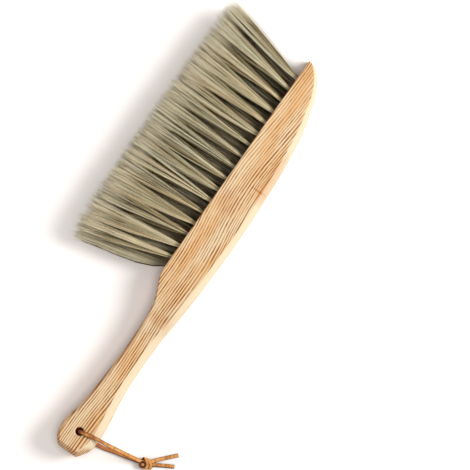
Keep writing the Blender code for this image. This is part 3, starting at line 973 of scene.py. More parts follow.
@dataclass(frozen=True)
class WoodenBody:
    """Head and handle in one piece of ash, drilled for the tufts and for the lace.

    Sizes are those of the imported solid. A drop is how far the handle's front edge lies behind
    the root plane, and a depth is its width. Shares are of a zone's length and of how far its
    edge moves over it.
    """

    head_length: float = 0.1840
    head_depth: float = 0.0328
    head_thickness: float = 0.0300
    root_edge_radius: float = 0.0006
    back_edge_radius: float = 0.0045
    tip_edge_radius: float = 0.0022
    tip_face_radius: float = 0.0011
    neck_length: float = 0.0610
    grip_length: float = 0.0700
    butt_length: float = 0.0160
    handle_thickness: float = 0.0240
    grip_front_radius: float = 0.0024
    grip_back_radius: float = 0.0055
    butt_edge_radius: float = 0.0040
    waist_drop: float = 0.0105
    waist_depth: float = 0.0179
    swell_drop: float = 0.0040
    swell_depth: float = 0.0296
    butt_drop: float = 0.0115
    butt_depth: float = 0.0150
    hole_diameter: float = 0.0060
    hole_chamfer: float = 0.0006
    overrun: float = 0.0030
    edge_limit_share: float = 0.30
    full_edge_share: float = 0.60
    edge_turn: float = math.radians(70.0)
    crease_angle: float = math.radians(11.0)
    end_face_share: float = 0.90
    arc_steps: int = 12
    flat_steps: int = 8
    butt_steps: int = 14
    grip_steps: int = 36
    neck_steps: int = 40
    head_steps: int = 84
    drill_sides: int = 48

    neck_front_shares: tuple[Pair, ...] = (
        (0.00, 0.00), (0.10, 0.14), (0.18, 0.35), (0.28, 0.60), (0.36, 0.76),
        (0.46, 0.86), (0.64, 0.95), (0.82, 0.99), (1.00, 1.00),
    )
    grip_front_shares: tuple[Pair, ...] = (
        (0.21, 0.08), (0.36, 0.15), (0.50, 0.26), (0.64, 0.39), (0.79, 0.60), (0.93, 0.91),
        (1.00, 1.00),
    )
    butt_front_shares: tuple[Pair, ...] = (
        (0.31, 0.05), (0.62, 0.27), (0.84, 0.60), (0.94, 0.80), (1.00, 1.00),
    )
    neck_back_shares: tuple[Pair, ...] = (
        (0.18, 0.19), (0.36, 0.39), (0.54, 0.62), (0.72, 0.88), (1.00, 1.00),
    )
    grip_back_shares: tuple[Pair, ...] = (
        (0.24, 0.04), (0.40, 0.15), (0.56, 0.40), (0.71, 0.69), (0.87, 0.94), (1.00, 1.00),
    )
    butt_back_shares: tuple[Pair, ...] = ((0.31, 0.09), (0.66, 0.46), (0.88, 0.79), (1.00, 1.00))
    head_back_shares: tuple[Pair, ...] = (
        (0.000, 0.971), (0.130, 0.991), (0.240, 1.000), (0.350, 0.991), (0.457, 0.966),
        (0.565, 0.930), (0.674, 0.869), (0.783, 0.762), (0.837, 0.671), (0.891, 0.579),
        (0.946, 0.427), (0.973, 0.305), (0.989, 0.213), (1.000, 0.091),
    )

    @property
    def waist(self) -> float:
        """X of the handle's narrowest place."""
        return -self.neck_length

    @property
    def swell(self) -> float:
        """X of the handle's widest place."""
        return -(self.neck_length + self.grip_length)

    @property
    def butt_end(self) -> float:
        """X of the butt's end face."""
        return self.swell - self.butt_length

    @staticmethod
    def zone(shares: Sequence[Pair], start: float, end: float, low: float, high: float) -> list[Pair]:
        """Points of one zone of an edge.

        Args:
            shares: How far along the zone and how far across each point lies.
            start, end: X of the zone's two ends.
            low, high: Y of the edge at the two ends.

        Returns:
            X and Y of the points.
        """
        return [
            (start + along * (end - start), low + across * (high - low))
            for along, across in shares
        ]

    def front_edge(self) -> SmoothLine:
        """Front edge of the wood seen from above.

        Returns:
            The edge from butt to tip.
        """
        points = self.zone(self.neck_front_shares, 0.0, self.waist, 0.0, -self.waist_drop)
        points += self.zone(
            self.grip_front_shares, self.waist, self.swell, -self.waist_drop, -self.swell_drop,
        )
        points += self.zone(
            self.butt_front_shares, self.swell, self.butt_end, -self.swell_drop, -self.butt_drop,
        )
        return SmoothLine((*points[::-1], (self.head_length, 0.0)))

    def back_edge(self) -> SmoothLine:
        """Back edge of the wood seen from above.

        Returns:
            The edge from butt to tip.
        """
        waist_back = -(self.waist_drop + self.waist_depth)
        swell_back = -(self.swell_drop + self.swell_depth)
        butt_back = -(self.butt_drop + self.butt_depth)
        head = self.zone(self.head_back_shares, 0.0, self.head_length, 0.0, -self.head_depth)
        points = self.zone(self.neck_back_shares, 0.0, self.waist, head[0][1], waist_back)
        points += self.zone(
            self.grip_back_shares, self.waist, self.swell, waist_back, swell_back,
        )
        points += self.zone(
            self.butt_back_shares, self.swell, self.butt_end, swell_back, butt_back,
        )
        return SmoothLine((*points[::-1], *head))

    def along_neck(self, waist_value: float, head_value: float) -> SmoothLine:
        """A size of the section that changes along the neck.

        Args:
            waist_value: The size at the waist and all along the grip.
            head_value: The size all along the head.

        Returns:
            The size over X.
        """
        return SmoothLine((
            (self.butt_end, waist_value), (self.waist, waist_value),
            (0.0, head_value), (self.head_length, head_value),
        ))

    def back_rounding(self) -> SmoothLine:
        """Radius of the back edges, which runs out towards the tip.

        Returns:
            The radius over X.
        """
        along = self.along_neck(self.grip_back_radius, self.back_edge_radius)
        return SmoothLine((
            *along.points[:-1], (self.full_edge_share * self.head_length, self.back_edge_radius),
            (self.head_length, self.tip_edge_radius),
        ))

    def rounding(self, share: float) -> Pair:
        """A point of a rounded edge, which runs from a wall up to a face and meets it in a crease.

        Args:
            share: 0 at the wall and 1 at the crease.

        Returns:
            How far out and how far up it lies, as shares of the rounding's radius.
        """
        start = math.cos(self.edge_turn)
        angle = share * self.edge_turn
        return (math.cos(angle) - start) / (1.0 - start), math.sin(angle) / math.sin(self.edge_turn)

    def end_inset(self, x: float) -> float:
        """How far the rounding of the butt's end or of the tip lowers the faces.

        Args:
            x: Where along the wood.

        Returns:
            The distance, which is 0 away from the two ends.
        """
        start = math.cos(self.edge_turn)
        for distance, radius in (
            (x - self.butt_end, self.butt_edge_radius),
            (self.head_length - x, self.tip_face_radius),
        ):
            if distance < radius:
                out = start + (1.0 - distance / radius) * (1.0 - start)
                up = math.sqrt(max(1.0 - out * out, 0.0)) / math.sin(self.edge_turn)
                return radius * (1.0 - up)
        return 0.0

    def stations(self) -> list[float]:
        """Where the sections lie.

        Returns:
            X of each section, closer together at the two ends.
        """
        places = [
            self.butt_end + self.butt_edge_radius * (1.0 - self.rounding(step / self.arc_steps)[0])
            for step in range(self.arc_steps)
        ]
        flat_start = self.butt_end + self.butt_edge_radius
        places += [
            flat_start + (self.swell - flat_start) * step / self.butt_steps
            for step in range(self.butt_steps)
        ]
        places += [
            self.swell + self.grip_length * step / self.grip_steps for step in range(self.grip_steps)
        ]
        places += [
            self.waist + self.neck_length * step / self.neck_steps for step in range(self.neck_steps)
        ]
        places += [
            self.head_length * math.sin(step / self.head_steps * math.pi / 2.0)
            for step in range(self.head_steps + 1)
        ]
        return places

    def ring(self, front: float, back: float, half: float, front_radius: float,
             back_radius: float) -> list[Pair]:
        """Rounded section of the wood, turning from front to top to back.

        Args:
            front, back: Y of the two edges.
            half: Half the thickness.
            front_radius, back_radius: Rounding of the edges.

        Returns:
            Y and Z of its points, with Z from the middle of the thickness.
        """
        arcs = []
        for quarter in range(4):
            at_front, at_top = quarter in (0, 3), quarter in (0, 1)
            radius = front_radius if at_front else back_radius
            y = front - radius if at_front else back + radius
            z = half - radius if at_top else radius - half
            outward = radius if at_front else -radius
            upward = radius if at_top else -radius
            arc = [
                (y + outward * out, z + upward * up)
                for out, up in (
                    self.rounding(step / self.arc_steps) for step in range(self.arc_steps + 1)
                )
            ]
            arcs.append(arc if quarter in (0, 2) else arc[::-1])
        points = []
        for arc, following in zip(arcs, arcs[1:] + arcs[:1]):
            points += arc
            start, end = arc[-1], following[0]
            for step in range(1, self.flat_steps):
                share = (1.0 - math.cos(step / self.flat_steps * math.pi)) / 2.0
                points.append((
                    start[0] + (end[0] - start[0]) * share, start[1] + (end[1] - start[1]) * share,
                ))
        return points

    def loft(self, neck: Vector) -> bpy.types.Mesh:
        """The undrilled wood.

        Args:
            neck: The neck corner.

        Returns:
            Its mesh, lofted through the sections.
        """
        front_edge, back_edge = self.front_edge(), self.back_edge()
        thickness = self.along_neck(self.handle_thickness, self.head_thickness)
        front_rounding = self.along_neck(self.grip_front_radius, self.root_edge_radius)
        back_rounding = self.back_rounding()
        middle = neck + Vector((0.0, 0.0, self.head_thickness / 2.0))
        bm = bmesh.new()
        rings = []
        for x in self.stations():
            front, back = front_edge.at(x), back_edge.at(x)
            half = thickness.at(x) / 2.0 - self.end_inset(x)
            limit = self.edge_limit_share * min(front - back, 2.0 * half)
            section = self.ring(
                front, back, half, min(front_rounding.at(x), limit), min(back_rounding.at(x), limit),
            )
            rings.append([bm.verts.new(middle + Vector((x, y, z))) for y, z in section])
        for end in (0, -1):
            ring = rings[end]
            centre = sum((vert.co for vert in ring), Vector()) / len(ring)
            inner = [bm.verts.new(centre + (vert.co - centre) * self.end_face_share) for vert in ring]
            rings = [inner, *rings] if end == 0 else [*rings, inner]
        skin(bm, rings)
        return mesh_from(bm, "wooden_body")

    def hole_drill(self, pivot: Vector) -> bmesh.types.BMesh:
        """Drill for the hanging hole, with a chamfer at both faces of the handle.

        Args:
            pivot: The hole's axis, on the floor.

        Returns:
            The drill.
        """
        radius = self.hole_diameter / 2.0
        half = self.handle_thickness / 2.0
        flare = radius + self.hole_chamfer + self.overrun
        profile = (
            (flare, half + self.overrun), (radius, half - self.hole_chamfer),
            (radius, self.hole_chamfer - half), (flare, -half - self.overrun),
        )
        bm = bmesh.new()
        rings = [
            [
                bm.verts.new(pivot + Vector((
                    across * math.cos(math.tau * k / self.drill_sides),
                    across * math.sin(math.tau * k / self.drill_sides),
                    self.head_thickness / 2.0 + up,
                )))
                for k in range(self.drill_sides)
            ]
            for across, up in profile
        ]
        skin(bm, rings)
        bmesh.ops.recalc_face_normals(bm, faces=bm.faces)
        return bm

    def build(self, placement: Placement, drills: bpy.types.Mesh,
              material: bpy.types.Material) -> bpy.types.Object:
        """Makes the drilled and finished body.

        Args:
            placement: Where the brush lies.
            drills: The drills of all the tuft holes.
            material: The wood.

        Returns:
            The finished piece.
        """
        bm = self.hole_drill(placement.pivot)
        bm.from_mesh(drills)
        cutter = add_piece("drills", mesh_from(bm, "drills"), None)
        blank = add_piece("blank", self.loft(placement.neck), None)
        boolean = blank.modifiers.new("drill", "BOOLEAN")
        boolean.operation = "DIFFERENCE"
        boolean.solver = "EXACT"
        boolean.object = cutter
        mesh = evaluated_mesh(blank)
        mesh.name = "wooden_body_ash"
        for spent in (blank, cutter):
            bpy.data.objects.remove(spent)
        mesh.shade_smooth()
        mesh.set_sharp_from_angle(angle=self.crease_angle)
        return add_piece("wooden_body_ash", mesh, material)


# Tufts

@dataclass(frozen=True)
class Row:
    """One row of tufts.

    Attributes:
        name: Its place in the thickness.
        side: 1 for the row that lies on top, 0 for the middle one and -1 for the lowest.
        offset_share: How far it is shifted along, as a share of the pitch.
        root_share: How much of its hole's width it fills.
        root_light: How light the hair's painted shade leaves it at its root, from 0 to 1.
        tip_light: How light the painted shade leaves it at its tip.
        reach_share: Where along the hair it has become that light.
    """

    name: str
    side: int
    offset_share: float
    root_share: float
    root_light: float
    tip_light: float
    reach_share: float


class Draw(Enum):
    """What the random numbers of a hair or a clump are drawn for."""

    DRIFT = 1
    BEND = 2
    STRAY = 3
    BOW = 4
    SHORTNESS = 5
    TINT = 6


class HairTree:
    """Geometry Nodes tree that grows one tuft of hairs up its own Z axis, from a round root to
    a square cell at the tips. Hairs lie in clumps, whose tips draw together."""

    INPUTS = {
        "Clumps": "NodeSocketInt", "Hairs per clump": "NodeSocketInt",
        "Clump size": "NodeSocketFloat", "Root radius": "NodeSocketFloat",
        "Root depth": "NodeSocketFloat", "Length": "NodeSocketFloat",
        "Unevenness": "NodeSocketFloat", "Splay along": "NodeSocketFloat",
        "Splay across": "NodeSocketFloat", "Bow": "NodeSocketFloat", "Lean": "NodeSocketFloat",
        "Hair radius": "NodeSocketFloat", "Tip taper": "NodeSocketFloat",
        "Tone": "NodeSocketFloat", "Flank shade": "NodeSocketFloat",
        "Side shade": "NodeSocketFloat", "Root light": "NodeSocketFloat",
        "Tip light": "NodeSocketFloat", "Light reach": "NodeSocketFloat",
        "Seed": "NodeSocketInt", "Material": "NodeSocketMaterial",
    }
    HAIR_SIDES = 3
    HAIR_POINTS = 6

    # Random numbers: how far apart tufts, clumps and hairs lie in their sequences
    SEEDS_PER_TUFT = 8
    SPREAD_PER_TUFT = 3
    SPREAD_PER_CLUMP = 5
    SPREAD_STEPS = (0.7548777, 0.5698403)

    # Roots: how much the hairs crowd towards the middle of the round root
    CROWD_START = 0.02
    CROWD_POWER = 0.22

    # Tips: how far a clump's tips spread and drift, and how far single hairs stray
    TIP_SPREAD = 0.60
    CLUMP_DRIFT = 0.12
    LEAST_STRAY = 0.10
    STRAY = 0.55
    STRAY_POWER = 14.0

    # Course from root to tip: the flare's polynomial, the gains that bring the curves of the bow
    # and the lean up to 1 at their highest, and how the lean changes from side to side
    FLARE = (0.62, 1.25, 0.87)
    BOW_GAIN = 4.0
    LEAN_GAIN = 6.75
    LEAN_SHARES = (0.55, 0.45)

    # Shortness: how much of the unevenness clumps, streaks and hairs take, and how few hairs
    # reach the full length
    CLUMP_SHORTNESS = 0.06
    STREAK_SHORTNESS = 0.09
    HAIR_SHORTNESS = 0.70
    SHORTNESS_POWER = 0.38

    # Tone: how much each draw and streak changes it, and how the tones lie on the map
    CLUMP_TONE = 0.18
    HAIR_TONE = 0.16
    STREAK_TONE = 0.38
    STRAND_TONE = 0.20
    STREAKS = Streaks(640.0, 0.731, 2.0, (0.36, 0.60))
    STRANDS = Streaks(1500.0, 0.417, 1.0, (0.38, 0.60))
    TONE_COLUMNS = 32
    HIGHEST_TONE = 0.999
    COLUMN_FILL = 0.45
    WARM_ABOVE = 0.1

    def __init__(self) -> None:
        """Builds the tree."""
        self.tree = bpy.data.node_groups.new("tuft of hairs", "GeometryNodeTree")
        for name, kind in self.INPUTS.items():
            self.tree.interface.new_socket(name=name, in_out="INPUT", socket_type=kind)
        self.tree.interface.new_socket(
            name="Geometry", in_out="OUTPUT", socket_type="NodeSocketGeometry",
        )
        self.identifiers = {
            item.name: item.identifier
            for item in self.tree.interface.items_tree if item.in_out == "INPUT"
        }
        self.graph = Graph(self.tree)
        sockets = self.graph.node("NodeGroupInput").outputs
        self.inputs = {name: Value(self.graph, sockets[name]) for name in self.INPUTS}
        self.finish(self.laid_hairs(self.straight_hairs()))

    def random(self, number: Value, draw: Draw) -> tuple[Value, Value, Value]:
        """Three random shares from -1 to 1 for each number.

        Args:
            number: The number of a hair or a clump.
            draw: What they are for, which gives each use its own numbers.

        Returns:
            The three shares.
        """
        seed = self.inputs["Seed"] * self.SEEDS_PER_TUFT + draw.value
        return self.graph.parts(self.graph.value(
            "FunctionNodeRandomValue", {"data_type": "FLOAT_VECTOR"},
            {0: (-1.0, -1.0, -1.0), 1: (1.0, 1.0, 1.0), "ID": number, "Seed": seed},
        ))

    def spread(self, number: Value) -> tuple[Value, Value]:
        """Two shares from -1 to 1 for each number, which fill a square evenly."""
        first, second = ((number * step + 0.5).fract() * 2.0 - 1.0 for step in self.SPREAD_STEPS)
        return first, second

    def straight_hairs(self) -> Value:
        """The hairs before they are laid.

        Returns:
            One straight line for each hair, as real curves.
        """
        line = self.graph.value(
            "GeometryNodeCurvePrimitiveLine", None, {"End": (0.0, 0.0, 1.0)},
        )
        line = self.graph.value(
            "GeometryNodeResampleCurve", None, {"Curve": line, "Count": self.HAIR_POINTS},
        )
        points = self.graph.value(
            "GeometryNodePoints", None,
            {"Count": self.inputs["Clumps"] * self.inputs["Hairs per clump"]},
        )
        copies = self.graph.value(
            "GeometryNodeInstanceOnPoints", None, {"Points": points, "Instance": line},
        )
        return self.graph.value("GeometryNodeRealizeInstances", None, {"Geometry": copies})

    def rounded(self, x: Value, y: Value) -> tuple[Value, Value]:
        """A place in the round root.

        Args:
            x, y: The place in a square, from -1 to 1.

        Returns:
            The same place with the square drawn in to a circle, from the root's middle.
        """
        crowding = ((x * x + y * y) / 2.0 + self.CROWD_START) ** self.CROWD_POWER
        radius = crowding * self.inputs["Root radius"]
        return x * (1.0 - y * y / 2.0).root() * radius, y * (1.0 - x * x / 2.0).root() * radius

    def laid_hairs(self, hairs: Value) -> Value:
        """Lays the hairs.

        Args:
            hairs: One straight line for each hair.

        Returns:
            The hairs in place, with the tone and light of each.
        """
        graph, inputs = self.graph, self.inputs
        hair = graph.value("GeometryNodeCurveOfPoint")
        along = graph.value("GeometryNodeSplineParameter")
        clump = (hair / inputs["Hairs per clump"]).floor()
        member = hair - clump * inputs["Hairs per clump"]
        clump_x, clump_y = self.spread(clump + inputs["Seed"] * self.SPREAD_PER_TUFT)
        member_x, member_y = self.spread(member + clump * self.SPREAD_PER_CLUMP)
        drift_x, drift_y, clump_tone = self.random(clump, Draw.DRIFT)
        bend_x, bend_y, clump_short = self.random(clump, Draw.BEND)
        stray_x, stray_y, hair_tone = self.random(hair, Draw.STRAY)
        bow_x, bow_y, hair_chance = self.random(hair, Draw.BOW)
        hair_short = self.random(hair, Draw.SHORTNESS)[0] / 2.0 + 0.5
        stray = ((hair_chance + 1.0) / 2.0) ** self.STRAY_POWER * self.STRAY + self.LEAST_STRAY

        size = inputs["Clump size"]
        root_x, root_y = self.rounded(
            clump_x * (1.0 - size) + member_x * size, clump_y * (1.0 - size) + member_y * size,
        )

        def tip(anchor: Value, own: Value, drift: Value, aside: Value, splay: Value) -> Value:
            """One coordinate of a hair's tip."""
            share = anchor * (1.0 - size * self.TIP_SPREAD) + own * size * self.TIP_SPREAD
            share = share + drift * self.CLUMP_DRIFT
            return (share.at_most(1.0).at_least(-1.0) + aside * stray) * splay

        splay_y = inputs["Splay across"]
        tip_x = tip(clump_x, member_x, drift_x, stray_x, inputs["Splay along"])
        tip_y = tip(clump_y, member_y, drift_y, stray_y, splay_y)
        tip_y = tip_y.at_most(splay_y).at_least(-splay_y)
        first, second, third = self.FLARE
        flare = along * (first + along * second - along * along * third)
        arch = along * (1.0 - along) * self.BOW_GAIN * inputs["Bow"]
        lean = along * (1.0 - along) * (1.0 - along) * self.LEAN_GAIN * inputs["Lean"]
        lean = lean * (self.LEAN_SHARES[0] - clump_x * self.LEAN_SHARES[1])
        x = root_x + (tip_x - root_x) * flare + (bow_x * 0.5 + bend_x * 0.5) * arch + lean
        y = root_y + (tip_y - root_y) * flare + (bow_y * 0.5 + bend_y * 0.5) * arch

        streak = self.STREAKS.over(tip_x, inputs["Seed"])
        strand = self.STRANDS.over(tip_x, inputs["Seed"])
        short = (clump_short + 1.0) * self.CLUMP_SHORTNESS + (1.0 - streak) * self.STREAK_SHORTNESS
        short = short + hair_short ** self.SHORTNESS_POWER * self.HAIR_SHORTNESS
        reach = inputs["Length"] + inputs["Root depth"] - inputs["Unevenness"] * short
        place = graph.vector(x, y, along * reach - inputs["Root depth"])
        hairs = graph.value("GeometryNodeSetPosition", None, {"Geometry": hairs, "Position": place})

        tone = inputs["Tone"] + clump_tone * self.CLUMP_TONE + hair_tone * self.HAIR_TONE
        tone = tone + streak * self.STREAK_TONE + strand * self.STRAND_TONE
        warmth = self.random(clump, Draw.TINT)[0] + hair_chance * 0.5
        for name, value in (
            ("tone", self.tone_on_map(tone, tip_x, tip_y)),
            ("tint", graph.maths("GREATER_THAN", warmth, self.WARM_ABOVE)),
            ("light", self.light(along)), ("along", along),
        ):
            hairs = self.store(hairs, name, value)
        return hairs

    def tone_on_map(self, tone: Value, tip_x: Value, tip_y: Value) -> Value:
        """A hair's tone with its tuft's painted shade.

        Args:
            tone: The hair's own tone.
            tip_x, tip_y: Its tip's place, because painted shade darkens a tuft to its sides and its
                underside.

        Returns:
            The tone, from 0 to 1, at the middle of its column on the map.
        """
        across = tip_x / self.inputs["Splay along"]
        under = 0.5 + tip_y / self.inputs["Splay across"] / 2.0
        # Painted shade towards the tuft's sides and its underside, folded into the tone
        shade = 1.0 - across * across * self.inputs["Side shade"]
        shade = shade * (1.0 - under * self.inputs["Flank shade"])
        tone = (tone * shade).at_least(0.0).at_most(self.HIGHEST_TONE)
        return ((tone * self.TONE_COLUMNS).floor() + 0.5) / self.TONE_COLUMNS

    def light(self, along: Value) -> Value:
        """How light a hair's painted shade leaves it along its way from the root to the tip."""
        root, tip = self.inputs["Root light"], self.inputs["Tip light"]
        return root + (tip - root) * along.rise(0.0, self.inputs["Light reach"])

    def store(
        self, geometry: Value, name: str, value: Value, kind: str = "FLOAT",
        domain: str = "POINT",
    ) -> Value:
        """Writes a named attribute.

        Args:
            geometry: What it is written on.
            name: Its name.
            value: Its value.
            kind: Its data type.
            domain: Where it is kept, such as at the points or the corners.

        Returns:
            The geometry with the attribute.
        """
        return self.graph.value(
            "GeometryNodeStoreNamedAttribute", {"data_type": kind, "domain": domain},
            {"Geometry": geometry, "Name": name, "Value": value},
        )

    def attribute(self, name: str) -> Value:
        """A named attribute."""
        return self.graph.value(
            "GeometryNodeInputNamedAttribute", {"data_type": "FLOAT"}, {"Name": name},
        )

    def finish(self, hairs: Value) -> None:
        """Gives the hairs their thickness, map and material, and puts them out.

        Args:
            hairs: The laid hairs.
        """
        graph, inputs = self.graph, self.inputs
        profile = graph.value(
            "GeometryNodeCurvePrimitiveCircle", None,
            {"Resolution": self.HAIR_SIDES, "Radius": inputs["Hair radius"]},
        )
        profile = self.store(profile, "around", graph.value("GeometryNodeSplineParameter"))
        along = self.attribute("along")
        mesh = graph.value("GeometryNodeCurveToMesh", None, {
            "Curve": hairs, "Profile Curve": profile,
            "Scale": 1.0 - along * along * inputs["Tip taper"], "Fill Caps": True,
        })
        column = self.attribute("tone") / 2.0 + self.attribute("tint") / 2.0
        within = self.attribute("around") - 1.0 / self.HAIR_SIDES
        column = column + within * (self.COLUMN_FILL / self.TONE_COLUMNS)
        place = graph.vector(column, along * MAP_SPAN + MAP_MARGIN, 0.0)
        mesh = self.store(mesh, BAKE_MAP, place, "FLOAT2", "CORNER")
        mesh = graph.value("GeometryNodeSetShadeSmooth", None, {"Geometry": mesh})
        mesh = graph.value("GeometryNodeRealizeInstances", None, {"Geometry": mesh})
        mesh = graph.value(
            "GeometryNodeSetMaterial", None, {"Geometry": mesh, "Material": inputs["Material"]},
        )
        graph.node("NodeGroupOutput", None, {"Geometry": mesh})

    def host(self, name: str, settings: Mapping[str, Any]) -> bpy.types.Object:
        """An object that grows a tuft.

        Args:
            name: Its name.
            settings: The value of each of the tree's inputs, by its name.

        Returns:
            The object, whose modifier grows the tuft.
        """
        host = add_piece(name, bpy.data.meshes.new(name), None)
        modifier = host.modifiers.new("hairs", "NODES")
        modifier.node_group = self.tree
        for label, setting in settings.items():
            modifier[self.identifiers[label]] = setting
        return host


@dataclass(frozen=True)
class Tufts:
    """Three staggered rows of tufts that fan out towards both ends of the head.

    The middle row's first tuft lies nearest the butt, and has its own lean and shade. A spill
    share is how much of its room along the row a tuft fills at its tips.
    """

    per_row: int = 17
    first_inset: float = 0.0115
    last_inset: float = 0.0150
    row_pitch: float = 0.0085
    tip_row_pitch: float = 0.0100
    diameter: float = 0.0044
    root_depth: float = 0.0120
    grown_depth: float = 0.0040
    free_length: float = 0.0700
    overlength: float = 0.0076
    unevenness: float = 0.0180
    first_lean: float = -0.0046
    first_root_light: float = 0.45
    lean: float = 0.0010
    least_splay_share: float = 0.88
    butt_end_fan: float = 0.0180
    butt_end_power: int = 2
    tip_end_fan: float = 0.0145
    tip_end_power: int = 3
    drill_gap: float = 0.0001
    drill_overrun: float = 0.0030
    drill_sides: int = 28
    clumps: int = 40
    hairs_per_clump: int = 16
    clump_size_share: float = 0.14
    hair_radius: float = 0.00012
    tip_taper_share: float = 0.60
    flank_shade_share: float = 0.45
    side_shade_share: float = 0.42
    end_side_shade_share: float = 0.10
    tone_base: float = 0.74
    tone_spread: float = 0.06
    bow: float = 0.0011
    still_share: float = 0.53
    spill_share: float = 1.30
    end_spill_share: float = 0.95
    outer_row_share: float = 0.90
    seed: int = 11
    highest_seed: int = 9999
    rows: tuple[Row, ...] = (
        Row("upper", 1, 0.0, 0.68, 1.00, 1.00, 0.12),
        Row("middle", 0, -0.5, 1.00, 0.36, 1.00, 0.50),
        Row("lower", -1, 0.0, 1.00, 0.28, 0.88, 0.85),
    )

    def pitch(self, head_length: float) -> float:
        """From one tuft's axis to the next along a row, at the root plane."""
        return (head_length - self.first_inset - self.last_inset) / (self.per_row - 1)

    def fan(self, place: float) -> float:
        """How far a tuft's tip leans along X.

        Args:
            place: Its place in the row, counted in tufts.

        Returns:
            The distance, which is 0 at the tuft that stands straight.
        """
        last = self.per_row - 1
        still = self.still_share * last
        if place < still:
            return -self.butt_end_fan * (1.0 - place / still) ** self.butt_end_power
        return self.tip_end_fan * ((place - still) / (last - still)) ** self.tip_end_power

    def frame(self, row: Row, number: int, placement: Placement, pitch: float) -> Matrix:
        """Place and turn of a tuft.

        Args:
            row: Its row.
            number: Its number in the row, from 0.
            placement: Where the brush lies.
            pitch: From one tuft to the next along a row.

        Returns:
            The turn and place of the tuft's own axes: Z up the bristles and X along the row.
        """
        place = number + row.offset_share
        root = placement.neck + Vector((
            self.first_inset + place * pitch, 0.0,
            placement.thickness / 2.0 + row.side * self.row_pitch,
        ))
        up = Vector((
            self.fan(place), self.free_length, row.side * (self.tip_row_pitch - self.row_pitch),
        )).normalized()
        along = Vector((1.0, 0.0, 0.0))
        along = (along - along.dot(up) * up).normalized()
        turn = Matrix((along, up.cross(along), up)).transposed()
        return Matrix.Translation(root) @ turn.to_4x4()

    def drills(self, placement: Placement, pitch: float) -> bpy.types.Mesh:
        """The drills of all the tuft holes.

        Args:
            placement: Where the brush lies.
            pitch: From one tuft to the next along a row.

        Returns:
            The drills in one mesh.
        """
        bm = bmesh.new()
        top, bottom = self.drill_overrun, -self.root_depth
        radius = self.diameter / 2.0 + self.drill_gap
        for row in self.rows:
            for number in range(self.per_row):
                place = self.frame(row, number, placement, pitch)
                bmesh.ops.create_cone(
                    bm, cap_ends=True, segments=self.drill_sides, radius1=radius, radius2=radius,
                    depth=top - bottom,
                    matrix=place @ Matrix.Translation((0.0, 0.0, (top + bottom) / 2.0)),
                )
        return mesh_from(bm, "tuft drills")

    def splay(self, row: Row, number: int, pitch: float) -> Pair:
        """Half the width of a tuft at its tips.

        Args:
            row: Its row.
            number: Its number in the row, from 0.
            pitch: From one tuft to the next along a row.

        Returns:
            The half width along the row and the one across the rows.
        """
        before = max(number - 0.5, 0.0) + row.offset_share
        after = min(number + 0.5, self.per_row - 1.0) + row.offset_share
        room = pitch + self.fan(after) - self.fan(before)
        at_end = number in (0, self.per_row - 1)
        along = room / 2.0 * (self.end_spill_share if at_end else self.spill_share)
        across = self.tip_row_pitch / 2.0
        return along, across * (self.spill_share if row.side == 0 else self.outer_row_share)

    def side_shade(self, number: int) -> float:
        """How much painted shade darkens a tuft at its two sides, where it faces its neighbours."""
        at_end = number in (0, self.per_row - 1)
        return self.end_side_shade_share if at_end else self.side_shade_share

    def build(self, placement: Placement, pitch: float,
              material: bpy.types.Material) -> list[bpy.types.Object]:
        """Grows every tuft.

        Args:
            placement: Where the brush lies.
            pitch: From one tuft to the next along a row.
            material: The hair.

        Returns:
            The tufts, row by row, each a plain mesh in its place.
        """
        tree = HairTree()
        rng = random.Random(self.seed)
        hosts = []
        for row in self.rows:
            for number in range(self.per_row):
                splay_along, splay_across = self.splay(row, number, pitch)
                lean = rng.uniform(-self.lean, self.lean)
                if row.side == 1:
                    splay_along *= rng.uniform(self.least_splay_share, 1.0)
                root_light = row.root_light
                if (row.side, number) == (0, 0):
                    lean, root_light = self.first_lean, self.first_root_light
                name = f"tuft_{row.name}_{number + 1:02d}"
                hosts.append((name, tree.host(name + "_hairs", {
                    "Clumps": self.clumps, "Hairs per clump": self.hairs_per_clump,
                    "Clump size": self.clump_size_share,
                    "Root radius": self.diameter / 2.0 * row.root_share,
                    "Root depth": self.grown_depth, "Length": self.free_length + self.overlength,
                    "Unevenness": self.unevenness, "Splay along": splay_along,
                    "Splay across": splay_across, "Bow": self.bow, "Lean": lean,
                    "Hair radius": self.hair_radius, "Tip taper": self.tip_taper_share,
                    "Tone": self.tone_base + rng.uniform(-self.tone_spread, self.tone_spread),
                    "Flank shade": self.flank_shade_share, "Side shade": self.side_shade(number),
                    "Root light": root_light, "Tip light": row.tip_light,
                    "Light reach": row.reach_share,
                    "Seed": rng.randrange(1, self.highest_seed), "Material": material,
                }), self.frame(row, number, placement, pitch)))
        tufts = []
        for name, host, place in hosts:
            mesh = evaluated_mesh(host)
            mesh.transform(place)
            mesh.name = host.name
            host.modifiers.clear()
            host.data = mesh
            report(host, Body.BRUSH, [name])
            tufts.append(host)
        return tufts


# Lace

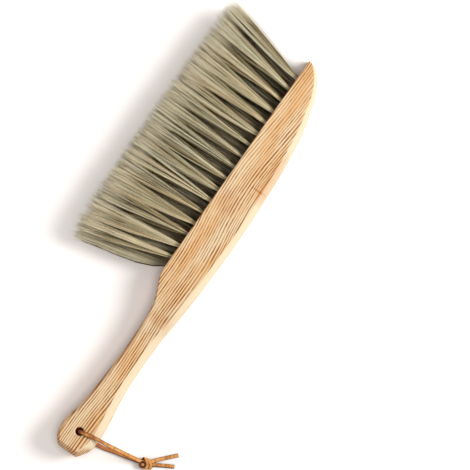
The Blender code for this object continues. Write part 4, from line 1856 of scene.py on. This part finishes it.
@dataclass(frozen=True)
class Strap:
    """A flat leather strip with rounded edges."""

    width: float = 0.0028
    thickness: float = 0.0016
    rounding: float = 0.00045
    corner_steps: int = 4
    crease_angle: float = math.radians(50.0)

    def profile(self) -> list[Pair]:
        """The strip's section.

        Returns:
            Across and up of its points.
        """
        points = []
        for quarter in range(4):
            right, top = quarter in (0, 3), quarter in (0, 1)
            across = (self.width / 2.0 - self.rounding) * (1 if right else -1)
            up = (self.thickness / 2.0 - self.rounding) * (1 if top else -1)
            for step in range(self.corner_steps + 1):
                angle = (quarter + step / self.corner_steps) * math.pi / 2.0
                points.append((
                    across + self.rounding * math.cos(angle), up + self.rounding * math.sin(angle),
                ))
        return points

    def sweep(self, name: str, route: Sequence[Vector], normals: Sequence[Vector],
              run: Pair = (0.0, 1.0)) -> bpy.types.Mesh:
        """The strip along a route.

        Args:
            name: The mesh's name.
            route: The middle of the strip.
            normals: Which way its upper face looks at each point.
            run: What the run attribute is at the two ends.

        Returns:
            The mesh, with its run and side attributes and its map.
        """
        profile = self.profile()
        bm = bmesh.new()
        side = bm.verts.layers.float.new("side")
        along = bm.verts.layers.float.new("run")
        rings = []
        for index, (place, normal) in enumerate(zip(route, normals)):
            before, after = route[max(index - 1, 0)], route[min(index + 1, len(route) - 1)]
            heading = (after - before).normalized()
            normal = (normal - normal.dot(heading) * heading).normalized()
            across = normal.cross(heading)
            share = index / (len(route) - 1)
            ring = []
            for right, up in profile:
                vert = bm.verts.new(place + across * right + normal * up)
                vert[side] = abs(right) / (self.width / 2.0)
                vert[along] = run[0] + (run[1] - run[0]) * share
                ring.append(vert)
            rings.append(ring)
        skin(bm, rings)
        bm.verts.index_update()
        count = len(profile)
        layer = bm.loops.layers.uv.new(BAKE_MAP)
        for face in bm.faces:
            turns = [loop.vert.index % count for loop in face.loops]
            closes = len(turns) < count and max(turns) - min(turns) > count / 2
            for loop, turn in zip(face.loops, turns):
                turn = count if closes and turn == 0 else turn
                loop[layer].uv = (
                    MAP_MARGIN + MAP_SPAN * turn / count,
                    MAP_MARGIN + MAP_SPAN * (loop.vert.index // count) / (len(rings) - 1),
                )
        mesh = mesh_from(bm, name)
        mesh.shade_smooth()
        mesh.set_sharp_from_angle(angle=self.crease_angle)
        return mesh


@dataclass(frozen=True)
class Lace:
    """The lace: two strands out of the hanging hole, the knot that joins them, and their tails.

    Routes are listed: X and Y from the hanging hole's axis, Z from the floor. Each
    strand runs from the middle of the hole through the knot to the end of its tail.
    """

    strap: Strap = Strap()
    knot_strap: Strap = Strap(width=0.0023, rounding=0.0004)
    route_steps: int = 6
    upper_length: float = 0.0979
    lower_length: float = 0.0873
    roll: float = math.radians(9.0)
    knot_place: Pair = (0.0076, -0.0523)
    knot_heading: Triple = (0.36, -0.933, 0.0)
    knot_width: float = 0.0086
    knot_height: float = 0.0060
    knot_lift: float = 0.0003
    knot_run: Pair = (0.45, 0.80)
    knot_turns: int = 2
    turn_points: int = 12
    turn_travel: float = 0.0025
    turns_start: float = -0.0010
    turn_bulge: float = 0.0016
    turn_slant: float = 0.0007
    turn_shrink_share: float = 0.14
    loop_place: Pair = (-0.0015, -0.0012)
    loop_radius: float = 0.0022
    loop_height: float = 0.0043
    loop_flare: Triple = (0.0, 0.0, 0.35)
    core_radius: float = 0.0012
    core_height: float = 0.0034
    core_steps: int = 4
    upper_leg: Route = (
        (0.0000, 0.0000, 0.01520), (0.0000, 0.0000, 0.02000), (0.0000, 0.0000, 0.02430),
        (0.0003, -0.0008, 0.02690), (0.0007, -0.0027, 0.02815), (0.0013, -0.0055, 0.02830),
        (0.0020, -0.0090, 0.02830), (0.0026, -0.0130, 0.02830), (0.0031, -0.0170, 0.02820),
        (0.0036, -0.0212, 0.02750), (0.0041, -0.0255, 0.02560), (0.0047, -0.0300, 0.02250),
        (0.0052, -0.0345, 0.01870), (0.0057, -0.0390, 0.01430), (0.0062, -0.0432, 0.00980),
        (0.0067, -0.0470, 0.00600),
    )
    lower_leg: Route = (
        (0.0000, 0.0000, 0.01480), (0.0000, 0.0000, 0.01000), (0.0000, 0.0000, 0.00540),
        (-0.0001, -0.0008, 0.00280), (-0.0003, -0.0027, 0.00140), (-0.0007, -0.0055, 0.00120),
        (-0.0012, -0.0095, 0.00120), (-0.0015, -0.0140, 0.00120), (-0.0011, -0.0190, 0.00120),
        (0.0001, -0.0245, 0.00120), (0.0016, -0.0300, 0.00120), (0.0029, -0.0355, 0.00120),
        (0.0042, -0.0410, 0.00120), (0.0053, -0.0452, 0.00130), (0.0061, -0.0483, 0.00170),
    )
    upper_inside: Route = ((0.0073, -0.0502, 0.0040), (0.0088, -0.0530, 0.0036))
    lower_inside: Route = ((0.0067, -0.0512, 0.0024), (0.0080, -0.0541, 0.0026))
    long_tail: Route = (
        (0.0114, -0.0556, 0.0029), (0.0141, -0.0577, 0.0021), (0.0171, -0.0604, 0.0012),
        (0.0201, -0.0631, 0.0012), (0.0230, -0.0658, 0.0012), (0.0262, -0.0688, 0.0012),
    )
    short_tail: Route = (
        (0.0097, -0.0572, 0.0021), (0.0114, -0.0600, 0.0013), (0.0131, -0.0630, 0.0012),
        (0.0148, -0.0659, 0.0012), (0.0163, -0.0686, 0.0012), (0.0178, -0.0712, 0.0012),
    )

    def carried(self, route: Sequence[Vector], first: Vector, rolls: float) -> list[Vector]:
        """Normals of a strip along a route.

        Args:
            route: The middle of the strip.
            first: About which way its upper face looks at the start.
            rolls: How far it is rolled about its own middle, there and back.

        Returns:
            The normals, which are otherwise carried along without twist.
        """
        normals, normal = [], first
        for index in range(len(route)):
            before, after = route[max(index - 1, 0)], route[min(index + 1, len(route) - 1)]
            heading = (after - before).normalized()
            normal = (normal - normal.dot(heading) * heading).normalized()
            share = index / (len(route) - 1)
            angle = rolls * math.sin(share * math.pi * 2.0)
            normals.append(Matrix.Rotation(angle, 3, heading) @ normal)
        return normals

    def strand(self, name: str, pivot: Vector, routes: Sequence[Route], first: Vector,
               material: bpy.types.Material) -> tuple[bpy.types.Object, list[Vector]]:
        """One strand of the lace.

        Args:
            name: The piece's name.
            pivot: The hanging hole's axis.
            routes: The places of its stretches, one after the other.
            first: About which way its upper face looks in the hole.
            material: The leather.

        Returns:
            The strand, and the points that it follows.
        """
        places = [pivot + Vector(place) for route in routes for place in route]
        route = smooth_route(places, self.route_steps)
        mesh = self.strap.sweep(name, route, self.carried(route, first, self.roll))
        return add_piece(name, mesh, material), route

    def knot_loop(self) -> list[tuple[Vector, Vector]]:
        """The strip's end over the middle of the knot's loop, and the loop round it on edge.

        Returns:
            Its places, along and across the knot and up from its underside, and its normals.
        """
        centre = Vector((*self.loop_place, 0.0))
        course = []
        for step in range(self.core_steps + 1):
            angle = math.pi * (1.0 - step / self.core_steps)
            out = Vector((math.cos(angle), 0.0, math.sin(angle)))
            course.append((centre + UPWARD * self.core_height + out * self.core_radius, out))
        for step in range(self.turn_points + 1):
            angle = math.tau * step / self.turn_points
            out = Vector((math.cos(angle), math.sin(angle), 0.0))
            place = centre + UPWARD * self.loop_height + out * self.loop_radius
            course.append((place, out + Vector(self.loop_flare)))
        return course

    def knot_turns_round(self) -> list[tuple[Vector, Vector]]:
        """The turns round both strands, which bulge towards the tails.

        Returns:
            Their places, along and across the knot and up from its underside, and their normals.
        """
        half = self.knot_strap.thickness / 2.0
        width, height = self.knot_width / 2.0 - half, self.knot_height / 2.0 - half
        course = []
        for step in range(self.knot_turns * self.turn_points + 1):
            turns = step / self.turn_points
            angle = math.tau * turns - math.pi / 2.0
            side, up = math.cos(angle), math.sin(angle)
            size = 1.0 - self.turn_shrink_share * turns / self.knot_turns
            along = self.turns_start + self.turn_travel * turns
            along += self.turn_bulge * up * abs(up) - self.turn_slant * side
            middle = Vector((along, 0.0, self.knot_height / 2.0))
            course.append((
                middle + Vector((0.0, side * width, up * height)) * size,
                Vector((0.0, side / width, up / height)).normalized(),
            ))
        return course

    def knot(self, pivot: Vector, material: bpy.types.Material) -> bpy.types.Object:
        """The knot: a loop on edge and two turns of the strip round both strands.

        Args:
            pivot: The hanging hole's axis.
            material: The leather.

        Returns:
            The finished piece.
        """
        ahead = Vector(self.knot_heading).normalized()
        turn = Matrix((ahead, UPWARD.cross(ahead), UPWARD)).transposed()
        corner = pivot + Vector((*self.knot_place, self.knot_lift))
        course = [*self.knot_loop(), *self.knot_turns_round()]
        route = smooth_route([corner + turn @ place for place, _ in course], self.route_steps)
        normals = smooth_route([turn @ normal for _, normal in course], self.route_steps)
        mesh = self.knot_strap.sweep("lace_knot_wraps", route, normals, self.knot_run)
        return add_piece("lace_knot_wraps", mesh, material)

    def build(self, placement: Placement, material: bpy.types.Material) -> None:
        """Makes the lace: the knot and the two strands, each put on its body in place of its nodes.

        Args:
            placement: Where the brush lies.
            material: The leather.
        """
        pivot = placement.pivot
        low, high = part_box("wooden_body")
        middle = (low.z + high.z) / 2.0
        knot = self.knot(pivot, material)
        report(knot, Body.LACE, ["lace_knot"])
        towards_knot = Vector((*self.knot_place, 0.0)).normalized()
        for name, routes, length, side, nodes in (
            ("lace_upper_strand", (self.upper_leg, self.upper_inside, self.long_tail),
             self.upper_length, 1, ["lace_upper_leg", "lace_long_tail"]),
            ("lace_lower_strand", (self.lower_leg, self.lower_inside, self.short_tail),
             self.lower_length, -1, ["lace_lower_leg", "lace_short_tail"]),
        ):
            strand, route = self.strand(name, pivot, routes, -towards_knot * side, material)
            LOG.info("%s follows %.4f m", name, route_length(route))
            mouth = pivot + UPWARD * (middle + side * WoodenBody.handle_thickness / 2.0)
            report(strand, Body.LACE, nodes)


# Studio

@dataclass(frozen=True)
class Studio:
    """Pale floor, soft light from the brush's back, and the camera straight above.

    The heading is how far the picture's right is turned from the brush's X axis, and the middle
    is the place under the picture's middle, measured from the neck corner. The floor lifts what
    the camera sees of it to white. It lifts less within the contact distance of the brush, which
    paints a contact shadow there, and takes a dark painted shade colour where the brush closes it
    in, such as between the bristles.
    """

    heading: float = math.radians(-54.9)
    middle: Pair = (0.0506, -0.0284)
    picture_width: float = 0.3389
    camera_height: float = 4.50
    sensor_width: float = 0.036
    view_end: float = 20.0
    floor_size: float = 6.0
    floor_colour: Colour = (0.96, 0.95, 0.945, 1.0)
    floor_lift: Colour = (0.335, 0.300, 0.280, 1.0)
    # Painted shade colour of the floor where the brush closes it in
    painted_hidden_shade: Colour = (0.44, 0.12, 0.05, 1.0)
    contact_distance: float = 0.0075
    hidden_distance: float = 0.018
    hidden_span: Pair = (0.05, 0.32)
    sky_strength: float = 0.42
    key_power: float = 46.8
    key_colour: Triple = (1.0, 0.985, 0.965)
    key_size: float = 1.24
    key_distance: float = 2.40
    key_height_angle: float = math.radians(46.0)
    key_turn: float = math.radians(8.0)

    def camera(self, target: Vector) -> None:
        """Long lens from straight above.

        Args:
            target: The place in the middle of the picture.
        """
        data = bpy.data.cameras.new("camera")
        distance = self.camera_height - target.z
        data.sensor_width = self.sensor_width * MILLIMETRES_PER_METRE
        data.lens = data.sensor_width * distance / self.picture_width
        data.clip_end = self.view_end
        camera = bpy.data.objects.new("camera", data)
        camera.location = (target.x, target.y, self.camera_height)
        camera.rotation_euler = (0.0, 0.0, self.heading)
        bpy.context.scene.collection.objects.link(camera)
        bpy.context.scene.camera = camera

    def floor(self) -> None:
        """Pale floor that looks white where it is lit, and keeps the shadow."""
        bm = bmesh.new()
        bmesh.ops.create_grid(bm, x_segments=1, y_segments=1, size=self.floor_size / 2.0)
        mesh = mesh_from(bm, "floor")
        material = bpy.data.materials.new("floor")
        material.use_nodes = True
        graph = Graph(material.node_tree)
        graph.tree.nodes.clear()
        near, far = (
            graph.value("ShaderNodeAmbientOcclusion", None, {"Distance": distance}, "AO")
            for distance in (self.contact_distance, self.hidden_distance)
        )
        # Painted shade where the brush closes the floor in, and a painted contact shadow where the lift
        # falls off near the brush
        in_sight = far.rise(*self.hidden_span)
        colour = graph.mix(in_sight, self.painted_hidden_shade, self.floor_colour)
        matt = graph.value("ShaderNodeBsdfDiffuse", None, {"Color": colour})
        lift = graph.value("ShaderNodeEmission", None, {
            "Color": self.floor_lift,
            "Strength": self.seen_rays(graph) * near * near * in_sight,
        })
        shader = graph.value("ShaderNodeAddShader", None, {0: matt, 1: lift})
        graph.node("ShaderNodeOutputMaterial", None, {"Surface": shader})
        add_piece("floor", mesh, material)

    @staticmethod
    def seen_rays(graph: Graph) -> Value:
        """Finds the rays that the picture is made of.

        Args:
            graph: The graph of a material or of the world.

        Returns:
            1 for what the camera sees, straight, mirrored or through glass, and 0 for the rest.
        """
        rays = graph.node("ShaderNodeLightPath").outputs
        camera, glossy, through = (
            Value(graph, rays[name])
            for name in ("Is Camera Ray", "Is Glossy Ray", "Is Transmission Ray")
        )
        return camera.at_least(glossy).at_least(through)

    def sky(self) -> None:
        """Even light from all round, white where it is seen."""
        world = bpy.data.worlds.new("sky")
        world.use_nodes = True
        bpy.context.scene.world = world
        graph = Graph(world.node_tree)
        graph.tree.nodes.clear()
        strength = self.sky_strength + self.seen_rays(graph) * (1.0 - self.sky_strength)
        back = graph.value(
            "ShaderNodeBackground", None, {"Color": WHITE, "Strength": strength},
        )
        graph.node("ShaderNodeOutputWorld", None, {"Surface": back})

    def key(self, target: Vector) -> None:
        """Large soft light from the picture's right.

        Args:
            target: What it shines at.
        """
        data = bpy.data.lights.new("key", "AREA")
        data.shape = "DISK"
        data.size = self.key_size
        data.energy = self.key_power
        data.color = self.key_colour
        light = bpy.data.objects.new("key", data)
        turn = self.heading + self.key_turn
        towards = Vector((
            math.cos(self.key_height_angle) * math.cos(turn),
            math.cos(self.key_height_angle) * math.sin(turn), math.sin(self.key_height_angle),
        ))
        light.location = target + towards * self.key_distance
        light.rotation_euler = towards.to_track_quat("Z", "Y").to_euler()
        bpy.context.scene.collection.objects.link(light)

    def build(self, placement: Placement) -> None:
        """Sets up the whole studio.

        Args:
            placement: Where the brush lies.
        """
        target = placement.neck + Vector((*self.middle, placement.thickness))
        self.camera(target)
        self.sky()
        self.key(target)
        self.floor()
        bpy.context.scene.view_settings.view_transform = "Standard"


def main() -> None:
    """Builds the studio, the lace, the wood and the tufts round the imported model."""
    logging.basicConfig(level=logging.INFO, format="%(name)s: %(message)s")
    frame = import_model()
    wood, tufts = WoodenBody(), Tufts()
    placement = Placement.read(frame, wood.head_length)
    Studio().build(placement)
    Lace().build(placement, LeatherFinish().material())
    pitch = tufts.pitch(wood.head_length)
    ash = AshFinish().material(placement.neck, placement.pivot, wood.hole_diameter / 2.0)
    body = wood.build(placement, tufts.drills(placement, pitch), ash)
    report(body, Body.BRUSH, ["wooden_body"])
    tufts.build(placement, pitch, HairFinish().material())


if __name__ == "__main__":
    main()
